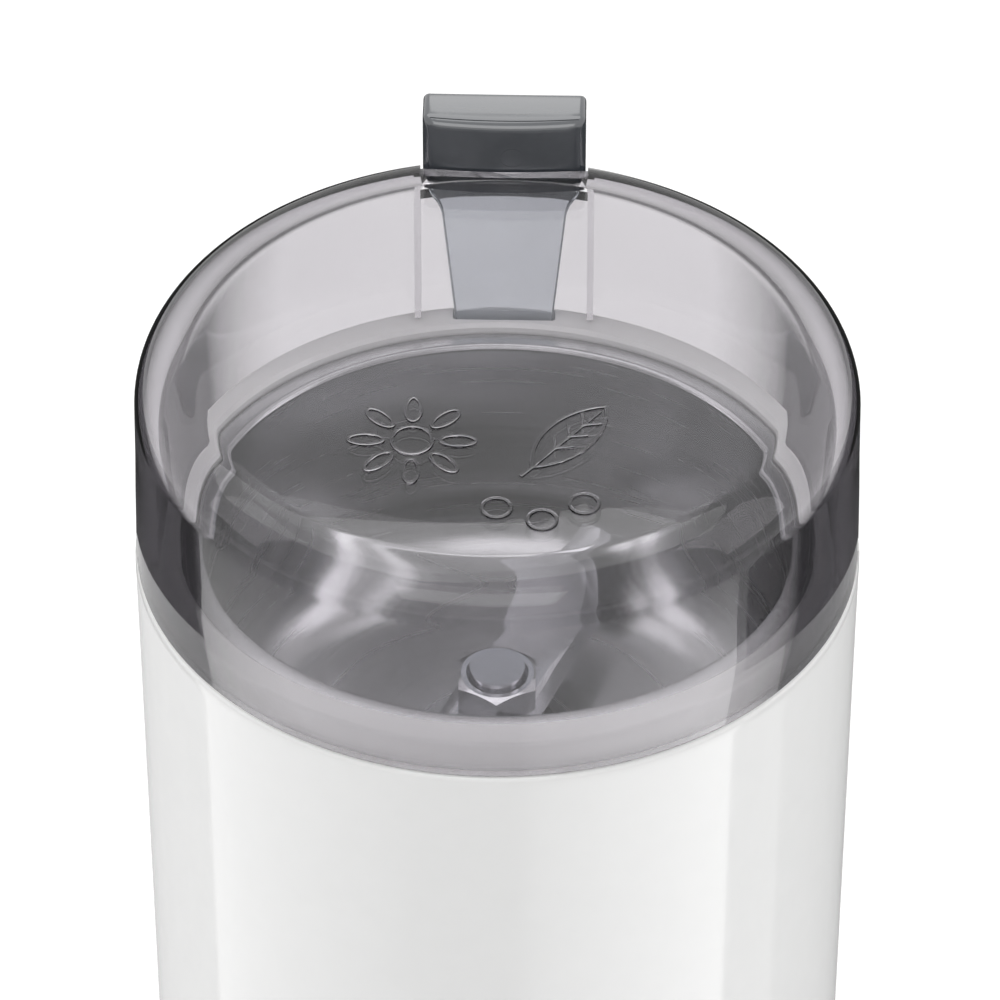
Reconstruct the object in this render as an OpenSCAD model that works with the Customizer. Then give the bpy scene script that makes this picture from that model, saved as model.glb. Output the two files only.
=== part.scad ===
// Electric blade grinder for spices and coffee beans.
// Oval white body, smoke-clear lid with the switch button in its back edge, steel bowl with a
// two-armed blade, and a brush motor hung under the bowl on rubber grommets.
// The origin is on the table under the middle of the body. The front is -Y and the button is at +Y.
// Every oval is a turned shape squeezed along Y: its size is given as the radius along X.

/* [Body] */
// Width of the body at the seam under the lid
body_w = 90; // [88:1:96]
// Depth of the body at the seam under the lid
body_d = 85; // [84:1:90]
// Height of the seam above the table
body_h = 134; // [131:1:150]
// How much the body narrows on each side from the seam to the bottom
body_taper = 1.7; // [1:0.1:2.2]
// Wall of the body
wall = 2.4; // [2:0.1:2.8]
// Rounding of the body's top edge
body_edge_r = 0.9; // [0.5:0.1:1.4]
// Thickness of the ring that closes the body's top
rim_t = 3; // [2.4:0.1:4]
// Height of the collar that the lid fits over
collar_h = 4; // [3.4:0.1:5]
// Collar's wall at the left and right
collar_side = 2.5; // [2:0.1:3]
// Collar's wall at the front and back, where the switch slot is
collar_back = 4; // [3.8:0.1:4.4]
// Thickness of the deck that carries the motor
deck_t = 3; // [2.5:0.1:4]

/* [Lid] */
// Height of the lid above the seam
lid_h = 30; // [28:1:36]
// Wall of the lid
lid_wall = 2.4; // [2:0.1:2.8]
// Step from the body's side in to the lid's side
lid_step = 0.15; // [0.1:0.05:0.8]
// How much the lid's side narrows up to its shoulder
lid_draft = 0.4; // [0.2:0.1:0.8]
// Rounding of the lid's shoulder
shoulder_r = 6.2; // [5:0.1:8]
// Rounding of the corner inside the lid's shoulder
inner_shoulder_r = 5.8; // [3:0.1:7]
// Height of the raised marks on the lid
mark_h = 0.25; // [0.2:0.05:0.4]
// Width of the line that the marks are drawn with
mark_line = 0.5; // [0.4:0.05:0.6]
// Thickness of the lid's flat top
plate_t = 1.6; // [1.4:0.1:2.4]
// Thickness of the two ribs that guide the button's leg
rib_t = 0.8; // [0.6:0.1:1.2]

/* [Button] */
// Width of the button
button_w = 20.4; // [18:0.2:22]
// Depth of the button from front to back
button_d = 6.4; // [6.2:0.1:7]
// Height of the button
button_h = 11.8; // [10.5:0.1:13]
// How far the button stands above the lid
button_proud = 7.5; // [7:0.1:8]
// Rounding of the button's front and upright edges
button_r = 1.5; // [1:0.1:2]
// Rounding of the button's edges at the left and right of its top
button_side_r = 0.9; // [0.6:0.1:1.5]
// Radius of the button's bowed front
button_bow_r = 70; // [60:1:140]
// How far the button is pressed
travel = 3; // [2.4:0.1:3.2]
// Thickness of the button's leg
stem_t = 1.6; // [1.4:0.1:1.8]
// Width of the leg at its foot
stem_foot_w = 12.4; // [11:0.1:13]
// How much each side of the leg flares on its straight stretch
stem_flare = 1.6; // [1:0.1:2]
// Radius of the leg's fillets under the button
stem_fillet_r = 6; // [4:0.1:7]

/* [Bowl] */
// Depth of the bowl inside
bowl_depth = 36; // [33:1:38]
// Sheet that the bowl is pressed from
bowl_t = 0.7; // [0.5:0.1:1]
// Width of the bowl's flange
flange_w = 2.2; // [1.8:0.1:2.6]
// Rounding between the bowl's floor and wall
bowl_floor_r = 12; // [8:1:14]
// Height of the bowl's seat above the seam
seat_rise = 1.5; // [1:0.1:2]
// Thickness of the gasket under the flange
gasket_t = 0.6; // [0.4:0.1:1]
// Radius of the shaft hole in the bowl's floor
bowl_hole_r = 5.5; // [5:0.1:6]
// Radius of the shaft seal's lips
seal_lip_r = 8; // [7.5:0.1:8.6]
// Thickness of each lip of the shaft seal
seal_lip_t = 1.6; // [1.2:0.1:2]

/* [Blade] */
// Room between the blade's tips and the bowl's wall
blade_room = 3; // [2.6:0.1:6]
// Thickness of the blade
blade_t = 1.5; // [1.2:0.1:2]
// Width of the blade at its middle
blade_w = 12; // [10:0.5:14]
// Length of each bent tip
blade_tip = 10; // [8:0.5:12]
// Angle that the front tip is bent up by
blade_up = 24; // [15:1:30]
// Angle that the other tip is bent down by
blade_down = 14; // [8:1:16]
// Angle that the blade stands at when the motor rests
blade_rest = 65; // [0:5:175]
// Radius of the hub under the blade
hub_r = 6; // [5:0.1:7]
// Height of the hub under the blade
hub_h = 4.5; // [4.4:0.1:6]
// Height of the nut on the blade
nut_h = 4; // [3.5:0.1:5]
// Radius of the nut over its corners
nut_r = 5.6; // [5.2:0.1:6]

/* [Motor] */
// Radius of the shaft at the armature
shaft_r = 4; // [3.9:0.1:4.5]
// Radius of the shaft in the top bearing and the bowl
shaft_top_r = 3.5; // [3:0.1:3.7]
// Radius of the shaft in the bottom bearing
shaft_foot_r = 3; // [2.5:0.1:3.4]
// Length of the top bearing
top_bearing_l = 7; // [6:0.1:8]
// Radius of the top bearing
top_bearing_r = 7; // [6.5:0.1:7.5]
// Length of the bottom bearing
bottom_bearing_l = 6.5; // [5.5:0.1:7]
// Radius of the bottom bearing
bottom_bearing_r = 6.5; // [6:0.1:7]
// Wall of the bracket around each bearing
bearing_wall = 2.2; // [1.8:0.1:2.5]
// Radius of the armature
armature_r = 14; // [13:0.1:14.4]
// Air gap between armature and field
air_gap = 0.6; // [0.4:0.1:0.8]
// Room between the bottom bearing's shell and the base
motor_room = 7.6; // [5.6:0.2:10]
// Number of slots in the armature
armature_slots = 12; // [8:1:14]
// Width of the field stack
field_w = 54; // [53:1:58]
// Depth of the field stack
field_d = 46; // [46:1:48]
// Width of each field pole
pole_w = 24; // [22:1:25]
// How far the field coils stand out of the stack's ends
coil_end = 6.8; // [5.5:0.1:7.5]
// Radius of the commutator
commutator_r = 9; // [8:0.1:9.6]
// Length of the commutator
commutator_h = 11; // [9:0.5:12]
// Number of bars on the commutator
commutator_bars = 12; // [8:1:24]
// Radius of the cooling fan
fan_r = 22; // [18:0.5:24]
// Height of the cooling fan
fan_h = 7; // [5:0.5:8]
// Number of vanes on the fan
fan_vanes = 11; // [7:1:16]
// Thickness of the motor's brackets
bracket_t = 3; // [2.5:0.1:3.6]
// Radius of the screws that tie the motor together
tie_r = 1.7; // [1.5:0.1:1.9]
// Radius of the screws that hold the motor to the deck
mount_screw_r = 1.6; // [1.4:0.1:1.8]
// Height of the rubber grommets
grommet_h = 6.4; // [6:0.1:7]
// Radius of the rubber grommets
grommet_r = 5.4; // [5.2:0.1:5.8]

/* [Brushes] */
// Width of each carbon brush
brush_w = 6; // [5:0.1:7]
// Height of each carbon brush
brush_h = 5; // [4:0.1:6]
// Length of each carbon brush
brush_l = 7; // [6:0.1:8]
// Wall of the brass brush holders
holder_t = 1; // [0.8:0.1:1.4]
// Length of the brush holders
holder_l = 12; // [11.5:0.1:13]

/* [Switch] */
// Length of the switch
switch_l = 20; // [19.5:0.5:22]
// Height of the switch
switch_h = 10.3; // [9:0.1:12]
// Thickness of the switch
switch_t = 5; // [4.8:0.1:5.4]
// Thickness of the sheet that the switch bracket is bent from
bracket_sheet = 1.5; // [1.2:0.1:1.8]
// Thickness of the push rod's blade
rod_t = 1.8; // [1.5:0.1:1.9]
// Width of the push rod's blade
rod_w = 10; // [8:0.1:11]
// Radius of the push rod's round part
rod_r = 1.2; // [1:0.1:1.3]
// Radius of the spring wire
wire_r = 0.25; // [0.2:0.05:0.3]
// Number of turns in the push rod's spring
spring_turns = 7; // [5:1:9]
// Length of the push rod's spring
spring_l = 18; // [15:0.5:20]
// Width of the switch lever
lever_w = 3; // [2.6:0.1:3.2]
// Thickness of the switch lever
lever_t = 0.5; // [0.4:0.1:0.8]
// Angle that the lever rises at
lever_rise = 12; // [12:0.5:15]

/* [Base] */
// How far the feet stand below the body
foot_proud = 1.6; // [1:0.1:2.2]
// Room between the feet and the base's edge
foot_room = 1; // [0.6:0.1:3]
// Radius of the feet
foot_r = 6; // [5:0.1:7]
// Depth of the feet's recesses in the base
foot_recess = 1; // [0.8:0.1:1.4]
// Thickness of the base
base_t = 2.4; // [2.2:0.1:3]
// Height of the base's inner rim
base_rim_h = 4; // [3:0.1:4.4]
// Number of air slots in the base
air_slots = 7; // [5:2:7]
// Radius of the hole in the cord inlet
cord_hole_r = 3.2; // [2.8:0.1:3.6]
// Radius of the cord inlet's neck in the wall
gland_neck_r = 5.1; // [4.8:0.1:5.6]
// Radius of the cord inlet's lips
gland_lip_r = 6.5; // [6.2:0.1:7]
// Height of the cord inlet above the table
gland_z = 17; // [17:0.5:20]

/* [Fits] */
// Gap between pieces that are assembled by hand
gap = 0.2; // [0.15:0.05:0.3]
// Gap between pieces that move past each other
slide_gap = 0.3; // [0.25:0.05:0.35]
// Radial gap where a piece is pressed onto another
snug = 0.03; // [0.02:0.01:0.05]
// Radial gap where a shaft turns
running = 0.05; // [0.03:0.01:0.08]

/* [Hidden] */
$fn = 96;
over = 0.5;             // how far a cut runs past the face it opens

// Body: heights, and radii of its ovals along X. Depth over width is the same all the way up.
body_k = body_d / body_w;
body_r = body_w / 2;
foot_z = foot_proud;
function side_r(z) = body_r - body_taper * (body_h - z) / (body_h - foot_z);
function inside_r(z) = side_r(z) - wall;
lid_r = body_r - lid_step;
lid_top_r = lid_r - lid_draft;
collar_r = lid_r - lid_wall - lid_draft;
collar_top = body_h + collar_h;

// Bowl: its ovals are a little flatter, because the collar is thicker at the back
collar_in_r = collar_r - collar_side;
bowl_k = (collar_r * body_k - collar_back) / collar_in_r;
flange_r = collar_in_r - gap;
bowl_out_r = flange_r - flange_w;
bowl_in_r = bowl_out_r - bowl_t;
seat_r = bowl_out_r + 2 * gap;
seat_top = body_h + seat_rise;
bowl_rim = seat_top + gasket_t + bowl_t;
floor_top = bowl_rim - bowl_depth;
floor_under = floor_top - bowl_t;
deck_top = floor_under - slide_gap;
deck_under = deck_top - deck_t;

// Switch slot, leg and rod, all on one line behind the bowl
line_y = collar_r * body_k - collar_back / 2;
slot_w = max(stem_foot_w, rod_w) + 2 * slide_gap;
slot_t = max(stem_t, rod_t) + 2 * gap;

// Lid and button
lid_z0 = body_h + snug;
lid_top = body_h + lid_h;
plate_under = lid_top - plate_t;
button_top = lid_top + button_proud;
button_foot = button_top - button_h;
button_back = lid_r * body_k;
button_front = button_back - button_d;
notch_floor = button_foot - travel - slide_gap;
rod_top = body_h - rim_t / 2;
stem_foot = rod_top + slide_gap;
cap_wall = 0.7;
stem_top_w = button_w - 2 * cap_wall;
stem_socket = 4.5;

// Blade stack on the shaft, above the bowl's floor
hub_z = floor_top + seal_lip_t + slide_gap;
blade_z = hub_z + hub_h;
nut_z = blade_z + blade_t;
shaft_proud = 1;
shaft_end = nut_z + nut_h + shaft_proud;
blade_r = bowl_in_r * bowl_k - blade_room;
blade_flat = blade_r - blade_tip;
blade_lap = 0.3;

// Motor heights, hung from the deck
boss_h = 5;
boss_r = 4;
boss_foot = deck_under - boss_h;
grommet_foot = boss_foot - grommet_h;
groove_t = 1.6;
end_play = 1;
bottom_sunk = 3;
top_plate = boss_foot - (grommet_h + bracket_t) / 2;
shell_floor = 1.2;
top_bearing_z = top_plate + bracket_t - top_bearing_l - 1;
top_shell_z = top_bearing_z - shell_floor;
fan_top = top_shell_z - end_play;
fan_foot = fan_top - fan_h;
stack_top = fan_foot - coil_end - end_play;
bottom_shell_z = foot_z + base_t + motor_room;
bottom_bearing_z = bottom_shell_z + shell_floor;
shaft_foot = bottom_bearing_z - 2;
shaft_step = bottom_bearing_z + bottom_bearing_l + 1;
bottom_plate = bottom_bearing_z + bottom_sunk;
commutator_foot = bottom_plate + bottom_bearing_l + 4.5;
commutator_top = commutator_foot + commutator_h;
brush_z = (commutator_top + commutator_foot) / 2;
winding_end = coil_end - 1;
winding_r = armature_r - 1.5;
stack_foot = commutator_top + winding_end + 1.5;
// the iron stacks take the height that is left between the fan and the commutator
stack_h = stack_top - stack_foot;
shaft_neck = top_bearing_z - 1;

// Places of the motor's screws, and the field's windows
tie_x = field_w / 2 - 3;
tie_y = field_d / 2 - 3.4;
tie_tube_r = tie_r + 1.2;
mount_tab = 7;
mount_room = 4;
mount_x = inside_r(top_plate) - mount_tab - mount_room;
mount_y = 10;
field_bore = armature_r + air_gap;
window_x0 = field_bore - 1.6;
window_x1 = field_w / 2 - 5.6;
window_y0 = pole_w / 2;
window_y1 = field_d / 2 - 4;
coil_gap = 0.3;
coil_x0 = window_x0 + coil_gap;
coil_x1 = window_x1 - coil_gap;
coil_y1 = window_y1 - coil_gap;

// Brushes, along X on both sides of the commutator
holder_w = brush_w + 2 * holder_t;
holder_h = brush_h + 2 * holder_t;
holder_x0 = commutator_r + 1.2;
holder_x1 = holder_x0 + holder_l;
brush_x0 = commutator_r + running;
brush_x1 = brush_x0 + brush_l;
brush_spring_r = min(brush_w, brush_h) / 2 - 2 * wire_r;

// Switch, under the deck at the back, with its lever along X
rod_drop = 5.6;
rod_foot = deck_under - rod_drop;
rod_pad_t = 2;
rod_pad_w = 4.4;
rod_shoulder = deck_top + spring_l;
spring_room = 0.3;
spring_r = rod_r + wire_r + spring_room;
shoulder_w = 2 * (spring_r + spring_room);
pivot_x = -14.5;
pivot_r = 0.6;
pivot_hub_r = 1.3;
lever_reach = rod_pad_w / 2 - pivot_x;
lever_tip = 1;
lever_in = 4.6;
lever_y = line_y - lever_in;
pivot_z = rod_foot - slide_gap - lever_t / 2 / cos(lever_rise) - lever_reach * tan(lever_rise);
switch_top = pivot_z - pivot_hub_r - gap;
switch_under = switch_top - switch_h;
ear_half = 1.4;
switch_x0 = pivot_x - ear_half - 0.1;
switch_x1 = switch_x0 + switch_l;
switch_y0 = lever_y - switch_t / 2;
switch_y1 = lever_y + switch_t / 2;
plunger_r = 1;
plunger_reach = 8;
plunger_x = pivot_x + plunger_reach;
plunger_top = pivot_z + (plunger_reach - plunger_r) * tan(lever_rise)
    - lever_t / 2 / cos(lever_rise) - gap / 2;
plunger_foot = switch_top - 1.5;
plunger_bore = 4;
switch_screw_r = 1.2;
screw_in = 3;
switch_screw_z = switch_under + screw_in - gap;
switch_screw_x = [switch_x0 + screw_in, switch_x1 - screw_in];
bracket_flange = 6;
bracket_y = switch_y0 - bracket_sheet;
bracket_screw_y = bracket_y - bracket_flange / 2;
deck_screw_l = 1.8;

// Base and its screws
base_r = inside_r(foot_z) - gap;
base_rim_t = 1.6;
base_screw_r = 1.6;
base_head_r = 3.3;
base_head_h = 1.9;
base_boss_r = 4.8;
base_boss_top = foot_z + 4.4;
head_seat = base_head_h + 0.5;
pillar_r = 4;
pillar_h = 14;
pillar_rib = 1.8;
pillar_in = 6.8;
side_pillar_in = 7.6;
side_pillar_y = 4;
// Each pillar as [x, y, the way its rib points]
pillars = [[0, pillar_in - inside_r(foot_z) * body_k, -90],
    [inside_r(foot_z) - side_pillar_in, side_pillar_y, 0],
    [side_pillar_in - inside_r(foot_z), side_pillar_y, 180]];
foot_x = (base_r - foot_r - foot_room) * cos(45);
foot_y = (base_r * body_k - foot_r - foot_room) * sin(45);
air_slot_w = 2.2;
air_slot_l = 26;
air_slot_pitch = 5;

// Noise filter on the back of the field stack
filter_w = 16;
filter_d = 6;
filter_h = 11;
filter_z = stack_foot + 4;
filter_y = field_d / 2 + snug;

// ---- shapes used by several pieces ----

// A profile turned around Z and squeezed along Y, as four quarters
module turned(k) {
    for (quarter = [0 : 3])
        scale([1, k, 1])
            rotate([0, 0, 90 * quarter + 45])
                rotate_extrude(angle = 90)
                    children();
}

// Half section with a side that widens from r0 to r1 and a rounded top edge
module half_section(r0, r1, z0, z1, edge) {
    land = 1;
    polygon([[0, z0], [r0, z0], [r1, z1 - edge - land], [r1, z1 - edge], [0, z1 - edge]]);
    translate([0, z1 - edge - land])
        square([r1 - edge, edge + land]);
    translate([r1 - edge, z1 - edge])
        circle(r = edge);
}

// Half section of a cup: straight side and rounded floor edge
module cup_section(r, edge, z0, z1) {
    translate([0, z0 + edge])
        square([r, z1 - z0 - edge]);
    translate([0, z0])
        square([r - edge, edge + over]);
    translate([r - edge, z0 + edge])
        circle(r = edge);
}

// A rectangle given by its two corners
module field(x0, y0, x1, y1) {
    translate([x0, y0])
        square([x1 - x0, y1 - y0]);
}

// A rectangle with round corners, centred
module round_rect(w, h, r) {
    square([w - 2 * r, h], center = true);
    square([w, h - 2 * r], center = true);
    for (x = [-1, 1], y = [-1, 1])
        translate([x * (w / 2 - r), y * (h / 2 - r)])
            circle(r = r);
}

// A box given by its two corners
module block(low, high) {
    translate(low)
        cube(high - low);
}

// A ring with a round hole
module ring(r_out, r_in, z0, z1) {
    difference() {
        translate([0, 0, z0])
            cylinder(r = r_out, h = z1 - z0);
        translate([0, 0, z0 - over])
            cylinder(r = r_in, h = z1 - z0 + 2 * over);
    }
}

// A pan-head screw that points up: its head hangs below z = 0
module screw(head_r, head_h, r, length) {
    difference() {
        union() {
            translate([0, 0, -head_h])
                cylinder(r = head_r, h = head_h);
            cylinder(r = r, h = length);
        }
        for (turn = [0, 90])
            rotate([0, 0, turn])
                translate([0, 0, -head_h])
                    cube([head_r * 1.1, head_r * 0.3, head_h], center = true);
    }
}

// A coil spring that stands on z = 0, with the wire's middle on a circle of radius r
module coil(r, wire, height, turns) {
    steps = 14;
    sides = 6;
    rings = turns * steps;
    rise = height - 2 * wire;
    points = [for (i = [0 : rings], k = [0 : sides - 1])
        let (a = 360 * i / steps, b = 360 * k / sides, out = r + wire * cos(b))
            [out * cos(a), out * sin(a), wire + rise * i / rings + wire * sin(b)]];
    skin = [for (i = [0 : rings - 1], k = [0 : sides - 1])
        let (n = (k + 1) % sides, a = i * sides, b = a + sides)
            [a + k, b + k, b + n, a + n]];
    first = [for (k = [0 : sides - 1]) k];
    last = [for (k = [sides - 1 : -1 : 0]) rings * sides + k];
    polyhedron(points = points, faces = concat([first], skin, [last]));
}

// ---- body ----

// What the body is hollowed by, with the deck, the screw bosses and the pillars left standing
module body_hollow() {
    difference() {
        turned(body_k)
            polygon([[0, foot_z - over], [inside_r(foot_z - over), foot_z - over],
                [inside_r(body_h - rim_t), body_h - rim_t], [0, body_h - rim_t]]);
        block([-body_w, -body_w, deck_under], [body_w, body_w, deck_top]);
        for (x = [-mount_x, mount_x], y = [-mount_y, mount_y])
            translate([x, y, boss_foot])
                cylinder(r = boss_r, h = boss_h + over);
        for (p = pillars)
            translate([p[0], p[1], base_boss_top]) {
                cylinder(r = pillar_r, h = pillar_h);
                rotate([0, 0, p[2]])
                    translate([0, -pillar_rib / 2, 0])
                        cube([2 * pillar_r + 4, pillar_rib, pillar_h]);
            }
    }
}

module housing() {
    color("white")
        difference() {
            turned(body_k)
                union() {
                    half_section(side_r(foot_z), body_r, foot_z, body_h, body_edge_r);
                    field(0, body_h - over, collar_r, collar_top);
                }
            body_hollow();
            // the bowl's seat inside the collar
            turned(bowl_k)
                union() {
                    field(0, body_h - rim_t - over, seat_r, seat_top + over);
                    field(0, seat_top, collar_in_r, collar_top + over);
                }
            // shaft seal and motor screws
            translate([0, 0, deck_under - over])
                cylinder(r = seal_lip_r + 1.5, h = deck_t + 2 * over);
            for (x = [-mount_x, mount_x], y = [-mount_y, mount_y])
                translate([x, y, boss_foot - over])
                    cylinder(r = mount_screw_r + snug, h = boss_h + deck_t / 2 + over);
            // switch bracket's screws
            for (x = switch_screw_x)
                translate([x, bracket_screw_y, deck_under - over])
                    cylinder(r = switch_screw_r + snug, h = deck_screw_l + gap + over);
            // push rod: a flat slot in the rim and a round hole in the deck
            block([-slot_w / 2, line_y - slot_t / 2, body_h - rim_t - over],
                [slot_w / 2, line_y + slot_t / 2, collar_top + over]);
            translate([0, line_y, deck_under - over])
                cylinder(r = rod_r + gap, h = deck_t + 2 * over);
            // base screws
            for (p = pillars)
                translate([p[0], p[1], base_boss_top - over])
                    cylinder(r = base_screw_r + snug, h = pillar_h - 1 + over);
            // cord inlet
            translate([0, 0, gland_z])
                rotate([-90, 0, 0])
                    cylinder(r = gland_neck_r + snug, h = body_d);
        }
}

// ---- bowl ----

module bowl() {
    color("silver")
        difference() {
            turned(bowl_k)
                difference() {
                    union() {
                        cup_section(bowl_out_r, bowl_floor_r + bowl_t, floor_under, bowl_rim);
                        field(0, bowl_rim - bowl_t, flange_r, bowl_rim);
                    }
                    cup_section(bowl_in_r, bowl_floor_r, floor_top, bowl_rim + over);
                }
            translate([0, 0, floor_under - over])
                cylinder(r = bowl_hole_r, h = bowl_t + 2 * over);
        }
}

module bowl_gasket() {
    color("dimgray")
        turned(bowl_k)
            field(seat_r, seat_top, flange_r, seat_top + gasket_t);
}

module shaft_seal() {
    color("black")
        rotate_extrude()
            union() {
                field(shaft_top_r + running, floor_under - seal_lip_t, seal_lip_r, floor_under);
                field(shaft_top_r + running, floor_under - over, bowl_hole_r - snug, floor_top + over);
                field(shaft_top_r + running, floor_top, seal_lip_r, floor_top + seal_lip_t);
            }
}

// ---- base ----

module base_cover() {
    color("whitesmoke")
        difference() {
            union() {
                turned(body_k)
                    difference() {
                        field(0, foot_z, base_r, foot_z + base_t + base_rim_h);
                        field(-over, foot_z + base_t, base_r - base_rim_t,
                            foot_z + base_t + base_rim_h + over);
                    }
                for (p = pillars)
                    translate([p[0], p[1], foot_z + over])
                        intersection() {
                            cylinder(r = base_boss_r, h = base_boss_top - foot_z - over);
                            translate([-p[0], -p[1], 0])
                                turned(body_k)
                                    field(0, -over, base_r - base_rim_t / 2, base_boss_top);
                        }
            }
            for (p = pillars)
                translate([p[0], p[1], foot_z]) {
                    // the rim stops short of the pillars
                    translate([0, 0, base_boss_top - foot_z])
                        rotate([0, 0, p[2]])
                            translate([0, -pillar_r - 1, 0])
                                cube([5 * pillar_r, 2 * pillar_r + 2, base_rim_h]);
                    translate([0, 0, -over])
                        cylinder(r = base_head_r + gap, h = head_seat + over);
                    cylinder(r = base_screw_r + gap, h = 2 * base_rim_h);
                }
            for (x = [-foot_x, foot_x], y = [-foot_y, foot_y])
                translate([x, y, foot_z - over])
                    cylinder(r = foot_r + gap / 2, h = foot_recess + over);
            for (i = [0 : air_slots - 1])
                translate([(i - (air_slots - 1) / 2) * air_slot_pitch, 0, foot_z + base_t / 2])
                    cube([air_slot_w, air_slot_l, base_t + 2 * over], center = true);
        }
}

module feet() {
    color("dimgray")
        for (x = [-foot_x, foot_x], y = [-foot_y, foot_y])
            translate([x, y, 0])
                cylinder(r = foot_r, h = foot_proud + foot_recess);
}

module base_screws() {
    color("silver")
        for (p = pillars)
            translate([p[0], p[1], foot_z + head_seat])
                screw(base_head_r, base_head_h, base_screw_r, pillar_h);
}

// The rubber bush that the cord enters by, low at the back
module cord_gland() {
    lip = 1.3;
    sag = gland_lip_r * gland_lip_r / body_w;
    face_out = side_r(gland_z + gland_lip_r) * body_k + snug;
    face_in = inside_r(gland_z - gland_lip_r) * body_k - sag - snug;
    color("dimgray")
        translate([0, 0, gland_z])
            rotate([-90, 0, 0])
                rotate_extrude()
                    union() {
                        field(cord_hole_r, face_in - lip, gland_lip_r, face_in);
                        field(cord_hole_r, face_in - over, gland_neck_r, face_out + over);
                        field(cord_hole_r, face_out, gland_lip_r, face_out + lip);
                    }
}

// ---- motor, the pieces that stand still ----

module at_corners(x, y) {
    for (sx = [-1, 1], sy = [-1, 1])
        translate([sx * x, sy * y, 0])
            children();
}

module motor_top_bracket() {
    color("gainsboro")
        difference() {
            union() {
                translate([0, 0, top_plate])
                    linear_extrude(bracket_t)
                        union() {
                            round_rect(field_w, field_d, 5);
                            round_rect(2 * (mount_x + mount_tab), 2 * (mount_y + mount_tab), mount_tab);
                        }
                translate([0, 0, top_shell_z])
                    cylinder(r = top_bearing_r + bearing_wall, h = top_plate - top_shell_z + over);
                at_corners(tie_x, tie_y)
                    translate([0, 0, stack_top])
                        cylinder(r = tie_tube_r, h = top_plate - stack_top + over);
            }
            translate([0, 0, top_bearing_z])
                cylinder(r = top_bearing_r + snug, h = top_bearing_l + 2);
            translate([0, 0, top_shell_z - over])
                cylinder(r = shaft_top_r + 1.5, h = shell_floor + 2 * over);
            at_corners(tie_x, tie_y)
                translate([0, 0, stack_top - over])
                    cylinder(r = tie_r + snug, h = top_plate - stack_top + bracket_t + 2 * over);
            at_corners(mount_x, mount_y)
                translate([0, 0, top_plate - over])
                    cylinder(r = grommet_r - groove_t, h = bracket_t + 2 * over);
        }
}

module top_bearing() {
    color("goldenrod")
        ring(top_bearing_r, shaft_top_r + running, top_bearing_z, top_bearing_z + top_bearing_l);
}

module motor_bottom_bracket() {
    post_top = brush_z - holder_h / 2;
    air_w = 24;
    air_d = 6;
    air_y = 15;
    color("gainsboro")
        difference() {
            union() {
                translate([0, 0, bottom_plate])
                    linear_extrude(bracket_t)
                        round_rect(field_w, field_d, 5);
                translate([0, 0, bottom_shell_z])
                    cylinder(r = bottom_bearing_r + bearing_wall,
                        h = bottom_plate - bottom_shell_z + over);
                at_corners(tie_x, tie_y)
                    translate([0, 0, bottom_plate + over])
                        cylinder(r = tie_tube_r, h = stack_foot - bottom_plate - over);
                for (side = [0, 180])
                    rotate([0, 0, side])
                        block([holder_x0, -holder_w / 2, bottom_plate + over],
                            [holder_x1, holder_w / 2, post_top]);
            }
            translate([0, 0, bottom_bearing_z])
                cylinder(r = bottom_bearing_r + snug, h = bottom_bearing_l);
            translate([0, 0, bottom_shell_z - over])
                cylinder(r = shaft_foot_r + 1, h = shell_floor + 2 * over);
            at_corners(tie_x, tie_y)
                translate([0, 0, bottom_plate - over])
                    cylinder(r = tie_r + snug, h = stack_foot - bottom_plate + 2 * over);
            // cooling air
            for (side = [-1, 1])
                translate([0, side * air_y, bottom_plate + bracket_t / 2])
                    cube([air_w, air_d, bracket_t + 2 * over], center = true);
        }
}

module bottom_bearing() {
    color("goldenrod")
        ring(bottom_bearing_r, shaft_foot_r + running, bottom_bearing_z,
            bottom_bearing_z + bottom_bearing_l);
}

module field_core() {
    mouth_x = window_x0 - 7;
    lip_t = 1.6;
    mouth_w = 2.4;
    color("slategray")
        difference() {
            translate([0, 0, stack_foot])
                linear_extrude(stack_h)
                    difference() {
                        round_rect(field_w, field_d, 5);
                        circle(r = field_bore);
                        for (sx = [-1, 1], sy = [-1, 1])
                            scale([sx, sy]) {
                                field(window_x0, window_y0, window_x1, window_y1);
                                field(mouth_x, window_y0 + lip_t, window_x0 + over,
                                    window_y0 + lip_t + mouth_w);
                            }
                    }
            at_corners(tie_x, tie_y)
                translate([0, 0, stack_foot - over])
                    cylinder(r = tie_r + snug, h = stack_h + 2 * over);
        }
}

// One ring of wire around each pole, through the windows and over both ends of the stack
module field_coils() {
    color("peru")
        for (side = [0, 180])
            rotate([0, 0, side])
                translate([coil_x0, 0, stack_foot + stack_h / 2])
                    rotate([90, 0, 90])
                        linear_extrude(coil_x1 - coil_x0)
                            difference() {
                                round_rect(2 * coil_y1, stack_h + 2 * coil_end, 5);
                                square([2 * (window_y0 + coil_gap), stack_h + 2 * coil_gap],
                                    center = true);
                            }
}

// A box beside the commutator, given by its far ends along X and its size across
module brush_box(x0, x1, w, h) {
    block([x0, -w / 2, brush_z - h / 2], [x1, w / 2, brush_z + h / 2]);
}

module brush_holders() {
    color("gold")
        for (side = [0, 180])
            rotate([0, 0, side])
                difference() {
                    brush_box(holder_x0, holder_x1, holder_w, holder_h);
                    brush_box(holder_x0 - over, holder_x1 - holder_t,
                        brush_w + 2 * snug, brush_h + 2 * snug);
                }
}

module carbon_brushes() {
    color("dimgray")
        for (side = [0, 180])
            rotate([0, 0, side])
                brush_box(brush_x0, brush_x1, brush_w, brush_h);
}

module brush_springs() {
    color("silver")
        for (side = [0, 180])
            rotate([0, 0, side])
                translate([brush_x1, 0, brush_z])
                    rotate([0, 90, 0])
                        coil(brush_spring_r, wire_r, holder_x1 - holder_t - brush_x1, 4);
}

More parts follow.
